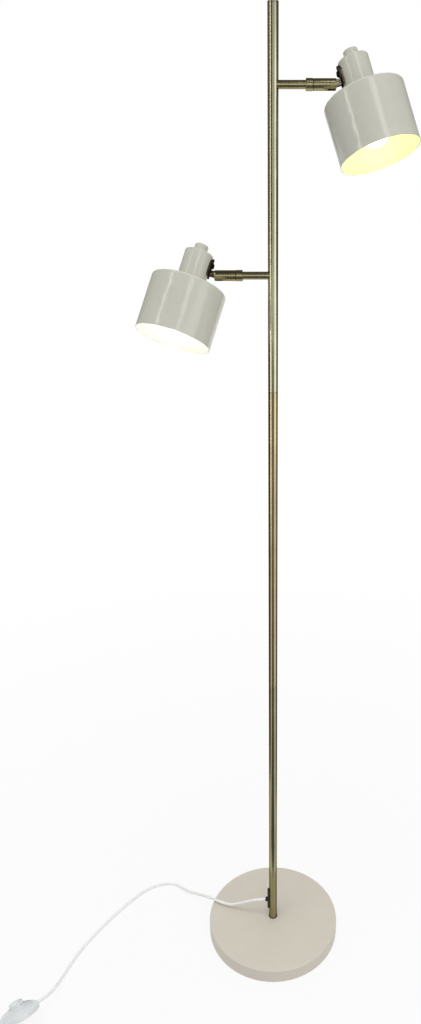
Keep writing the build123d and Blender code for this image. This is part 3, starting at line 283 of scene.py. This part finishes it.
def cable(name, points):
    """A round cable along a NURBS curve."""
    data = bpy.data.curves.new(name, "CURVE")
    data.dimensions = "3D"
    data.bevel_depth = 1.0  # of each point's radius
    data.bevel_resolution = 5
    data.resolution_u = 6
    data.use_fill_caps = True
    spline = data.splines.new("NURBS")
    spline.points.add(len(points) - 1)
    for point, place in zip(spline.points, points):
        point.co = (*place, 1.0)
        point.radius = CORD_DIAMETER / 2
    spline.order_u = 3
    spline.use_endpoint_u = True
    piece = bpy.data.objects.new(name, data)
    bpy.context.scene.collection.objects.link(piece)
    return piece


def run_length(piece):
    """The real length of a cable's own line."""
    bare = piece.data.copy()
    bare.bevel_depth = 0
    holder = bpy.data.objects.new("measure", bare)
    line = bpy.data.meshes.new_from_object(holder)
    places = [v.co.copy() for v in line.vertices]
    bpy.data.objects.remove(holder)
    bpy.data.meshes.remove(line)
    return sum((b - a).length for a, b in zip(places, places[1:]))


lamp_cord = cable("lamp_cord", ROUTE_TO_SWITCH)
mains_cord = cable("mains_cord", ROUTE_TO_PLUG)
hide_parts("cord_to_switch")
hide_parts("cord_to_coil", "cord_coil", "cord_to_plug")
for piece in (lamp_cord, mains_cord):
    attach(piece, "stand")
LAMP_CORD_LENGTH = 0.60
MAINS_CORD_LENGTH = 1.36
print("cord to the switch", round(run_length(lamp_cord), 3), "m, meant to be", LAMP_CORD_LENGTH)
print("on to the plug", round(run_length(mains_cord), 3), "m, meant to be", MAINS_CORD_LENGTH)

# %% [markdown]
# ## Places on the lamp
#
# A pattern has to know where a part's own axis is. The heads lean and turn, so their axes are
# worked out here once, from the same few measures as the model: how far the heads are turned
# about their arms, and how far they tilt.

# %% Axes of the heads, and coordinates along an axis
ARM_HEIGHTS = {"right": 1.4085, "left": 1.1763}
WAYS = {"right": 1, "left": -1}
HEAD_TURN = {"right": math.radians(17.4), "left": math.radians(23.4)}
HEAD_TILT = math.radians(17.0)
PIN_REACH = 0.076
NECK_OFFSET = 0.0325
STEM_ABOVE_SHADE = 0.0244


def head_axes(side):
    """The middle of the shade's closed end, and the direction of the shade's axis."""
    way, turn = WAYS[side], HEAD_TURN[side]
    stem = Vector(
        (
            way * math.cos(HEAD_TILT),
            math.sin(HEAD_TILT) * math.sin(turn),
            math.sin(HEAD_TILT) * math.cos(turn),
        )
    )
    up = Vector(
        (
            -way * math.sin(HEAD_TILT),
            math.cos(HEAD_TILT) * math.sin(turn),
            math.cos(HEAD_TILT) * math.cos(turn),
        )
    )
    pin = Vector((way * PIN_REACH, 0, ARM_HEIGHTS[side]))
    return pin + stem * NECK_OFFSET - up * STEM_ABOVE_SHADE, up


def axis_place(tree, origin, axis):
    """Object coordinates turned so that z runs along an axis through origin."""
    turn = axis.to_track_quat("Z", "Y").to_matrix().inverted()
    moved = turn @ -Vector(origin)
    place = add(tree, "ShaderNodeTexCoord")
    return add(
        tree,
        "ShaderNodeMapping",
        {
            "Vector": place.outputs["Object"],
            "Location": moved,
            "Rotation": turn.to_euler(),
        },
    ).outputs["Vector"]


for side in WAYS:
    print(side, "shade closes at", [round(v, 4) for v in head_axes(side)[0]])

# %% [markdown]
# ## Enamel on the heads
#
# The shades and their necks are spun and drawn steel, sprayed with a warm grey gloss enamel and
# baked. To the eye that is a smooth dielectric coat: long clear reflections with a very faint
# waviness, called orange peel, about 2 mm from crest to crest. Inside, the shade is sprayed
# white to throw the light out. One material does both: it measures how far a point is from the
# shade's axis and turns white just inside the sheet, so that the cut rim keeps the outer colour.

# %% Enamel of the heads
SHADE_RADIUS = 52.6 * MM
SHADE_WALL = 1.0 * MM
WHITE_WITHIN = SHADE_RADIUS - 0.9 * SHADE_WALL
CLOUD_SIZE = 40 * MM
CLOUD_SPREAD = 0.03  # lighter and darker than the paint's own tone
WAVE_DEPTH = 0.3 * MM
PEEL_SIZE = 2 * MM
PEEL_DEPTH = 0.1 * MM
ENAMEL_IOR = 1.5
HEAD_GLOSS = {"wave_mm": 9.0, "roughness": 0.14}


def enamel(tree, tint, wave_mm, roughness):
    """Gloss enamel: a colour with faint clouds, a slow waviness from spinning, and orange peel."""
    place = add(tree, "ShaderNodeTexCoord").outputs["Object"]
    clouds = add(
        tree, "ShaderNodeTexNoise", {"Vector": place, "Scale": 1 / CLOUD_SIZE, "Detail": 2.0}
    )
    soft = add(
        tree,
        "ShaderNodeMapRange",
        {
            "Value": clouds.outputs["Fac"],
            "To Min": 1 - CLOUD_SPREAD,
            "To Max": 1 + CLOUD_SPREAD,
        },
    )
    body = add(
        tree,
        "ShaderNodeVectorMath",
        {0: tint, "Scale": soft.outputs["Result"]},
        operation="SCALE",
    )
    waves = add(
        tree, "ShaderNodeTexNoise", {"Vector": place, "Scale": 1 / (wave_mm * MM), "Detail": 0.0}
    )
    wavy = add(
        tree,
        "ShaderNodeBump",
        {"Height": waves.outputs["Fac"], "Strength": 0.8, "Distance": WAVE_DEPTH},
    )
    peel = add(
        tree, "ShaderNodeTexNoise", {"Vector": place, "Scale": 1 / PEEL_SIZE, "Detail": 1.0}
    )
    bump = add(
        tree,
        "ShaderNodeBump",
        {
            "Height": peel.outputs["Fac"],
            "Strength": 0.05,
            "Distance": PEEL_DEPTH,
            "Normal": wavy.outputs["Normal"],
        },
    )
    return add(
        tree,
        "ShaderNodeBsdfPrincipled",
        {
            "Base Color": body.outputs["Vector"],
            "Roughness": roughness,
            "IOR": ENAMEL_IOR,
            "Normal": bump.outputs["Normal"],
        },
    )


def head_enamel(side, outside, inside):
    """The shade's enamel: coloured outside, white inside."""
    material, tree = new_material(f"gloss enamel, {side} shade")
    top, up = head_axes(side)
    place = axis_place(tree, top, up)
    flat = add(tree, "ShaderNodeVectorMath", {0: place, 1: (1, 1, 0)}, operation="MULTIPLY")
    radius = add(tree, "ShaderNodeVectorMath", {0: flat.outputs["Vector"]}, operation="LENGTH")
    depth = add(tree, "ShaderNodeSeparateXYZ", {"Vector": place})
    in_wall = add(
        tree,
        "ShaderNodeMath",
        {0: radius.outputs["Value"], 1: WHITE_WITHIN},
        operation="LESS_THAN",
    )
    under_top = add(
        tree,
        "ShaderNodeMath",
        {0: depth.outputs["Z"], 1: -SHADE_WALL / 2},
        operation="LESS_THAN",
    )
    within = add(
        tree,
        "ShaderNodeMath",
        {0: in_wall.outputs["Value"], 1: under_top.outputs["Value"]},
        operation="MULTIPLY",
    )
    tint = add(
        tree,
        "ShaderNodeMix",
        {"Factor": within.outputs["Value"], 6: outside, 7: inside},
        data_type="RGBA",
    )
    finish_material(tree, enamel(tree, tint.outputs[2], **HEAD_GLOSS).outputs["BSDF"])
    return material


HEAD_COLOUR = colour("C9C8BC")
WHITE_INSIDE = colour("DDDACE")
for side in WAYS:
    wear(head_enamel(side, HEAD_COLOUR, WHITE_INSIDE), f"{side}_shade")

neck_enamel, tree = new_material("gloss enamel, necks")
finish_material(tree, enamel(tree, HEAD_COLOUR, **HEAD_GLOSS).outputs["BSDF"])
wear(neck_enamel, *both("neck_cup", "finial"))

# %% [markdown]
# ## Enamel on the foot
#
# The foot's pressed cover is sprayed with a satin enamel, whose rougher skin scatters light. To
# the eye it has one broad soft highlight and no clear reflections, and the pressing leaves it
# with longer waves than the spun heads.

# %% Enamel of the foot
FOOT_SATIN = {"wave_mm": 14.0, "roughness": 0.45}
foot_enamel, tree = new_material("satin enamel, foot")
finish_material(tree, enamel(tree, colour("D3CCBF"), **FOOT_SATIN).outputs["BSDF"])
wear(foot_enamel, "base_cover")

# %% [markdown]
# ## Brass
#
# The pole, arms and swivels are drawn brass tube, brushed, darkened a little and lacquered.
# The brushing runs along the tube on the pole and round it on the turned pieces. It spreads
# reflections across the lines, so a tube shows long soft bands of light and dark. The tongues
# and plates have an antique finish: darkened in a bath, they show blotches and no lines.

# %% Brass
PATINA_SIZE = 30 * MM
PATINA_SHARE = 0.35  # the rest is the brush lines
ROUGHNESS_SPREAD = 0.04
LINE_DEPTH = 0.02 * MM


def metal(name, light, dark, lines_mm, stretch, roughness, edge):
    """Brushed metal. stretch squeezes the lines along x, y and z; edge is its grazing tint."""
    material, tree = new_material(name)
    place = add(tree, "ShaderNodeTexCoord").outputs["Object"]
    along_lines = add(tree, "ShaderNodeMapping", {"Vector": place, "Scale": stretch})
    lines = add(
        tree,
        "ShaderNodeTexNoise",
        {"Vector": along_lines.outputs["Vector"], "Scale": 1 / (lines_mm * MM), "Detail": 1.0},
    )
    patina = add(
        tree, "ShaderNodeTexNoise", {"Vector": place, "Scale": 1 / PATINA_SIZE, "Detail": 3.0}
    )
    worn = add(
        tree,
        "ShaderNodeMix",
        {0: PATINA_SHARE, 2: lines.outputs["Fac"], 3: patina.outputs["Fac"]},
        data_type="FLOAT",
    )
    tone = ramp(tree, worn.outputs[0], [(0.35, dark), (0.65, light)])
    rough = add(
        tree,
        "ShaderNodeMapRange",
        {
            "Value": lines.outputs["Fac"],
            "To Min": roughness - ROUGHNESS_SPREAD,
            "To Max": roughness + ROUGHNESS_SPREAD,
        },
    )
    bump = add(
        tree,
        "ShaderNodeBump",
        {"Height": lines.outputs["Fac"], "Strength": 0.15, "Distance": LINE_DEPTH},
    )
    surface = add(
        tree,
        "ShaderNodeBsdfPrincipled",
        {
            "Base Color": tone,
            "Metallic": 1.0,
            "Roughness": rough.outputs["Result"],
            "Specular Tint": edge,
            "Normal": bump.outputs["Normal"],
        },
    )
    finish_material(tree, surface.outputs["BSDF"])
    return material


ALONG_Z = (1, 1, 0.004)
ROUND_X = (1, 0.05, 0.05)
NO_LINES = (1, 1, 1)
EDGE = colour("6B6550")
# The three tubes differ a little in tone: the lighter tone, the darker one, and the parts.
TUBES = {
    "upper": ("BDBA9F", "A9A588", ["pole_upper", "pole_cap"]),
    "middle": ("BCAE88", "A39570", ["pole_middle"]),
    "lower": ("ADA785", "968F6C", ["pole_lower", "foot_plug"]),
}
for tube, (light, dark, names) in TUBES.items():
    tube_brass = metal(
        f"brushed brass, {tube} tube", colour(light), colour(dark), 1.0, ALONG_Z, 0.16, EDGE
    )
    wear(tube_brass, *names)
arm_brass = metal(
    "turned brass, arms", colour("B3AA84"), colour("9C936E"), 0.8, ROUND_X, 0.2, EDGE
)
wear(arm_brass, *both("arm_tube", "collar", "swivel_barrel", "fork"))
dark_brass = metal(
    "antique brass, tongues", colour("A09A90"), colour("726C62"), 1.5, NO_LINES, 0.25, EDGE
)
wear(dark_brass, *both("tongue"))
plate_brass = metal(
    "antique brass, plates", colour("857C68"), colour("494438"), 1.5, NO_LINES, 0.4, EDGE
)
wear(plate_brass, *both("neck_plate"))

# %% [markdown]
# ## Small parts
#
# Rubber, soft cable jacket and moulded plastic are all dielectrics. What tells them apart is
# how rough they are and what relief they carry: rubber is dull with a fine grain, the cable
# jacket has faint waves from being coiled, and the switch was moulded in a polished tool, so
# it shows the lights as small clear glints. The lampholders are a dull, heat-proof moulding.

# %% Plastics and rubber
GRAIN_DEPTH = 0.1 * MM
GRAIN_SPREAD = 0.04  # lighter and darker than the plastic's own tone
PLASTIC_IOR = 1.5


def moulded(name, tint, grain_mm, relief, roughness):
    """A moulded or extruded plastic: a plain colour and a fine grain."""
    material, tree = new_material(name)
    place = add(tree, "ShaderNodeTexCoord").outputs["Object"]
    grain = add(
        tree, "ShaderNodeTexNoise", {"Vector": place, "Scale": 1 / (grain_mm * MM), "Detail": 3.0}
    )
    shade = add(
        tree,
        "ShaderNodeMapRange",
        {
            "Value": grain.outputs["Fac"],
            "To Min": 1 - GRAIN_SPREAD,
            "To Max": 1 + GRAIN_SPREAD,
        },
    )
    body = add(
        tree,
        "ShaderNodeVectorMath",
        {0: tint, "Scale": shade.outputs["Result"]},
        operation="SCALE",
    )
    bump = add(
        tree,
        "ShaderNodeBump",
        {"Height": grain.outputs["Fac"], "Strength": relief, "Distance": GRAIN_DEPTH},
    )
    plastic = add(
        tree,
        "ShaderNodeBsdfPrincipled",
        {
            "Base Color": body.outputs["Vector"],
            "Roughness": roughness,
            "IOR": PLASTIC_IOR,
            "Normal": bump.outputs["Normal"],
        },
    )
    finish_material(tree, plastic.outputs["BSDF"])
    return material


rubber = moulded("moulded rubber", colour("1C1B1A"), 0.8, 0.3, 0.5)
wear(rubber, "cable_boot", "foot_ring", "base_pad")
jacket = moulded("cable jacket, soft vinyl", colour("F2F2F0"), 6.0, 0.05, 0.4)
for piece in (lamp_cord, mains_cord):
    piece.data.materials.append(jacket)
wear(jacket, "coil_tie", "inner_leads")
switch_shell = moulded("polished moulding, switch", colour("E0E4E5"), 4.0, 0.03, 0.25)
wear(
    switch_shell,
    "switch_lower_shell",
    "switch_upper_shell",
    "switch_button",
    "switch_contact_block",
    "plug_body",
)
holder_plastic = moulded("moulded lampholder plastic", colour("E4E0D6"), 1.5, 0.1, 0.45)
wear(holder_plastic, *both("lampholder", "holder_ring"))

# %% [markdown]
# ## Steel and iron
#
# The fixings inside are zinc-plated steel, pale and evenly bright. The weight in the foot is
# cast iron, left as it came from the sand: dark and nearly without shine. The screws that show
# on the plates are steel, blackened in hot oil, which leaves them dark with a dull gleam.

# %% Steel and iron
zinc = metal(
    "zinc-plated steel", colour("C9C9C6"), colour("A9A9A6"), 2.0, NO_LINES, 0.3, colour("C8C8C8")
)
wear(
    zinc,
    "base_nut",
    "pole_couplers",
    "arm_nipples",
    "swivel_retainers",
    "switch_screws",
    "switch_spring",
    "plug_pins",
    *both("pivot_pin", "bulb_cap"),
)
cast_iron = metal(
    "grey cast iron", colour("5B5A58"), colour("3A3938"), 3.0, NO_LINES, 0.65, colour("808080")
)
wear(cast_iron, "base_weight")
blackened = metal(
    "blackened steel, screws", colour("2A2826"), colour("171514"), 2.0, NO_LINES, 0.35, EDGE
)
wear(blackened, *both("plate_fixings"))

# %% [markdown]
# ## The lit bulbs
#
# Both bulbs are golf-ball lamps, and both are on. In the photograph the right ball reaches
# nearer to the shade's mouth than the model's own bulb does, as one with a longer neck would. So
# each is made again here from a ball, with its top faces drawn up into the neck, in the same
# holder. Opal glass spreads the light over the whole ball, so the bulb is an even emitter, a
# little darker towards its edge. The right one is the yellower.

# %% Balls and necks of the bulbs
BULB_RADIUS = 22.5 * MM
NECK_RADIUS = 8.5 * MM
HOLDER_MOUTH = -12.0 * MM  # along the shade's axis, from its closed end
BULB_NECK = 9.0 * MM
SHARP_EDGE = math.radians(35)  # steeper edges than this stay crisp


def golf_ball_bulb(side):
    """A ball of glass on the shade's axis, with a neck that ends in the lampholder."""
    top, up = head_axes(side)
    centre = HOLDER_MOUTH - BULB_NECK - BULB_RADIUS
    bpy.ops.object.select_all(action="DESELECT")
    bpy.ops.mesh.primitive_uv_sphere_add(segments=64, ring_count=48, radius=BULB_RADIUS)
    bulb = bpy.context.object
    bulb.name = f"{side}_golf_ball_bulb"
    bpy.ops.object.mode_set(mode="EDIT")
    bpy.ops.mesh.select_all(action="DESELECT")
    bpy.ops.object.mode_set(mode="OBJECT")
    for face in bulb.data.polygons:
        across = Vector(face.center[:2]).length
        face.select = across < NECK_RADIUS and face.center.z > 0
    bpy.ops.object.mode_set(mode="EDIT")
    bpy.ops.mesh.extrude_region_move(TRANSFORM_OT_translate={"value": (0, 0, BULB_NECK / 2)})
    bpy.ops.mesh.extrude_region_move(TRANSFORM_OT_translate={"value": (0, 0, BULB_NECK / 2)})
    bpy.ops.transform.resize(value=(1, 1, 0), center_override=(0, 0, BULB_RADIUS + BULB_NECK))
    bpy.ops.object.mode_set(mode="OBJECT")
    bpy.ops.object.shade_smooth_by_angle(angle=SHARP_EDGE)
    bulb.rotation_euler = up.to_track_quat("Z", "Y").to_euler()
    bulb.location = top + up * centre
    bpy.ops.object.transform_apply(location=True, rotation=True, scale=True)
    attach(bulb, f"{side}_head")
    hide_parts(f"{side}_bulb")
    print(bulb.name, len(bulb.data.polygons), "faces")
    return bulb


# %% Lit glass
EDGE_SHARE = 0.8  # of the strength, where the ball turns away from the eye


def lit_bulb(side, glow, strength):
    """Opal glass with a lamp lit inside."""
    material, tree = new_material(f"opal glass, lit, {side}")
    facing = add(tree, "ShaderNodeLayerWeight", {"Blend": 0.3})
    power = add(
        tree,
        "ShaderNodeMapRange",
        {
            "Value": facing.outputs["Facing"],
            "To Min": strength,
            "To Max": strength * EDGE_SHARE,
        },
    )
    glass = add(
        tree,
        "ShaderNodeBsdfPrincipled",
        {
            "Base Color": colour("F2EFE8"),
            "Roughness": 0.2,
            "IOR": 1.5,
            "Emission Color": glow,
            "Emission Strength": power.outputs["Result"],
        },
    )
    finish_material(tree, glass.outputs["BSDF"])
    return material


GLOWS = {"right": (colour("FFFA8A"), 8.0), "left": (colour("FFFEF8"), 5.5)}
for side, (glow, strength) in GLOWS.items():
    golf_ball_bulb(side).data.materials.append(lit_bulb(side, glow, strength))

# %% [markdown]
# ## The studio
#
# White paper lies under the lamp. To the camera, and to all that mirrors it, the paper is plain
# white: most of what it shows is a glow of strength 1, and the rest is its real light, which
# keeps a soft shadow. Further out the glow takes over, so that no horizon shows.
#
# Brass on white needs something dark to mirror, or it looks like pale plastic. A photographer
# stands black flags beside the lamp, just out of the picture, and here they are the same:
# planes that only reflections see. A white card by the camera draws the bright line on the arms.

# %% Floor
FLOOR_SIZE = 30.0
GLOW_NEAR = 0.86  # the glow's share up to SHADOW_REACH from the pole
SHADOW_REACH = 0.3
GLOW_ONLY = 1.6  # from here on there is nothing but the glow
bpy.ops.object.select_all(action="DESELECT")
bpy.ops.mesh.primitive_plane_add(size=FLOOR_SIZE, location=(0, 0, 0))
floor = bpy.context.object
floor.name = "floor"
paper, tree = new_material("white paper")
light_path = add(tree, "ShaderNodeLightPath")
seen = add(
    tree,
    "ShaderNodeMath",
    {0: light_path.outputs["Is Camera Ray"], 1: light_path.outputs["Is Glossy Ray"]},
    operation="MAXIMUM",
)
seen_too = add(
    tree,
    "ShaderNodeMath",
    {0: seen.outputs["Value"], 1: light_path.outputs["Is Transmission Ray"]},
    operation="MAXIMUM",
)
from_pole = add(
    tree,
    "ShaderNodeVectorMath",
    {0: add(tree, "ShaderNodeTexCoord").outputs["Object"]},
    operation="LENGTH",
)
glow_share = add(
    tree,
    "ShaderNodeMapRange",
    {
        "Value": from_pole.outputs["Value"],
        "From Min": SHADOW_REACH,
        "From Max": GLOW_ONLY,
        "To Min": GLOW_NEAR,
        "To Max": 1.0,
    },
)
share = add(
    tree,
    "ShaderNodeMath",
    {0: seen_too.outputs["Value"], 1: glow_share.outputs["Result"]},
    operation="MULTIPLY",
)
sheet = add(tree, "ShaderNodeBsdfDiffuse", {"Color": colour("E6E6E6")})
glow = add(tree, "ShaderNodeEmission", {"Color": (1, 1, 1, 1), "Strength": 1.0})
mixed = add(
    tree,
    "ShaderNodeMixShader",
    {0: share.outputs["Value"], 1: sheet.outputs["BSDF"], 2: glow.outputs["Emission"]},
)
finish_material(tree, mixed.outputs["Shader"])
floor.data.materials.append(paper)
print(paper.name, "on a floor of", FLOOR_SIZE, "m")


# %% Flags and cards that only reflections see
def card(name, corners, level):
    """A four-cornered card that glows at a level: 0 is a black flag, and 1 is white paper."""
    bpy.ops.object.select_all(action="DESELECT")
    bpy.ops.mesh.primitive_plane_add(size=1, location=(0, 0, 0))
    made = bpy.context.object
    made.name = name
    for vertex, corner in zip(made.data.vertices, corners):
        vertex.co = corner
    made.visible_camera = False
    made.visible_diffuse = False
    made.visible_shadow = False
    surface, tree = new_material(name)
    light = add(tree, "ShaderNodeEmission", {"Color": (1, 1, 1, 1), "Strength": level})
    finish_material(tree, light.outputs["Emission"])
    made.data.materials.append(surface)
    print(name, "glows at", level)


def upright_card(name, foot_a, foot_b, low, high, level):
    """A card that stands between two points of the floor."""
    card(name, [(*foot_a, low), (*foot_b, low), (*foot_a, high), (*foot_b, high)], level)


MAT_HEIGHT = 2 * MM
mat_outline = [(-0.2, -0.14), (0.14, -0.14), (-3.4, -9.0), (3.0, -9.0)]
# The mat is the dark floor of the room, from just before the foot to behind the camera.
card("mat", [(*corner, MAT_HEIGHT) for corner in mat_outline], 0.14)
# The flags darken the pole's sides, and the card draws the bright line on the arms.
upright_card("right flag", (0.34, 0.0), (0.34, 0.42), 0.0, 1.2, 0.06)
upright_card("left flag", (-0.42, -0.2), (-0.42, 0.5), 0.0, 1.1, 0.1)
upright_card("front card", (-0.3, -2.4), (0.3, -2.4), 0.75, 2.1, 1.2)

# %% Surroundings
world = bpy.data.worlds.new("studio")
bpy.context.scene.world = world
world.use_nodes = True
tree = world.node_tree
tree.nodes.clear()
direction = add(tree, "ShaderNodeTexCoord").outputs["Generated"]
split = add(tree, "ShaderNodeSeparateXYZ", {"Vector": direction})
away = add(tree, "ShaderNodeMath", {0: split.outputs["Y"], 1: -1.0}, operation="MULTIPLY")
bearing = add(
    tree, "ShaderNodeMath", {0: split.outputs["X"], 1: away.outputs["Value"]}, operation="ARCTAN2"
)
round_room = add(
    tree,
    "ShaderNodeMapRange",
    {"Value": bearing.outputs["Value"], "From Min": -math.pi, "From Max": math.pi},
)


def grey(level):
    """A neutral colour of a linear level."""
    return (level, level, level, 1)


# The room as reflections see it: a bearing in degrees and the grey there. It starts at the
# paper behind the lamp and goes by the left to the camera at 0, and by the right back again.
ROOM = [
    (-180, 1.0),
    (-165, 1.0),
    (-152, 0.12),
    (-104, 0.12),
    (-90, 0.35),
    (-60, 0.35),
    (-47, 0.06),
    (-34, 0.06),
    (-22, 0.33),
    (12, 0.33),
    (26, 0.95),
    (64, 0.95),
    (76, 0.15),
    (150, 0.12),
    (163, 1.0),
    (180, 1.0),
]
room = ramp(
    tree, round_room.outputs["Result"], [((turn + 180) / 360, grey(level)) for turn, level in ROOM]
)
ceiling = ramp(tree, split.outputs["Z"], [(0.18, grey(1.0)), (0.5, grey(0.4)), (0.9, grey(0.2))])
mirrored = add(
    tree,
    "ShaderNodeMix",
    {"Factor": 1.0, 6: room, 7: ceiling},
    data_type="RGBA",
    blend_type="MULTIPLY",
)
# The soft light that falls on everything, weaker from the sides than from above.
dome = ramp(tree, split.outputs["Z"], [(0.0, grey(0.48)), (0.45, grey(0.57)), (1.0, grey(0.8))])
path = add(tree, "ShaderNodeLightPath")
lit = add(
    tree,
    "ShaderNodeMix",
    {"Factor": path.outputs["Is Glossy Ray"], 6: dome, 7: mirrored.outputs[2]},
    data_type="RGBA",
)
plain = add(
    tree,
    "ShaderNodeMath",
    {0: path.outputs["Is Camera Ray"], 1: path.outputs["Is Transmission Ray"]},
    operation="MAXIMUM",
)
backdrop = add(
    tree,
    "ShaderNodeMix",
    {"Factor": plain.outputs["Value"], 6: lit.outputs[2], 7: grey(1.0)},
    data_type="RGBA",
)
sky = add(tree, "ShaderNodeBackground", {"Color": backdrop.outputs[2], "Strength": 1.0})
add(tree, "ShaderNodeOutputWorld", {"Surface": sky.outputs["Background"]})
print("a room of", len(ROOM), "bearings")


# %% Lamps
def softbox(name, place, target, width, height, radiance):
    """A rectangular studio lamp that looks at a point. Its power follows from its radiance."""
    data = bpy.data.lights.new(name, "AREA")
    data.shape = "RECTANGLE"
    data.size, data.size_y = width, height
    data.energy = radiance * width * height * math.pi
    lamp = bpy.data.objects.new(name, data)
    lamp.location = place
    lamp.rotation_euler = (Vector(target) - Vector(place)).to_track_quat("-Z", "Y").to_euler()
    lamp.visible_camera = False
    bpy.context.scene.collection.objects.link(lamp)
    print(name, round(data.energy, 1), "W")
    return lamp


# A large lamp high up gives the shadow on the paper. No reflection shows it.
overhead = softbox("overhead", (-1.2, -1.6, 8.0), (0, 0, 0), 3.5, 3.5, 4.5)
overhead.visible_glossy = False
# A strip draws the narrow bright line down the left of each tube and head.
left_strip = softbox("left strip", (-1.07, -0.67, 1.35), (0, 0, 1.0), 0.12, 2.4, 4.5)
left_strip.visible_diffuse = False
# Two boxes light the heads from the front and from the right.
softbox("front box", (0.5, -1.5, 2.75), (0, 0, 1.3), 0.42, 1.4, 2.7)
softbox("right box", (1.35, -1.0, 1.1), (0, 0, 1.0), 1.0, 1.4, 1.05)

# %% Colour management
bpy.context.scene.view_settings.view_transform = "Standard"
print("view transform:", bpy.context.scene.view_settings.view_transform)
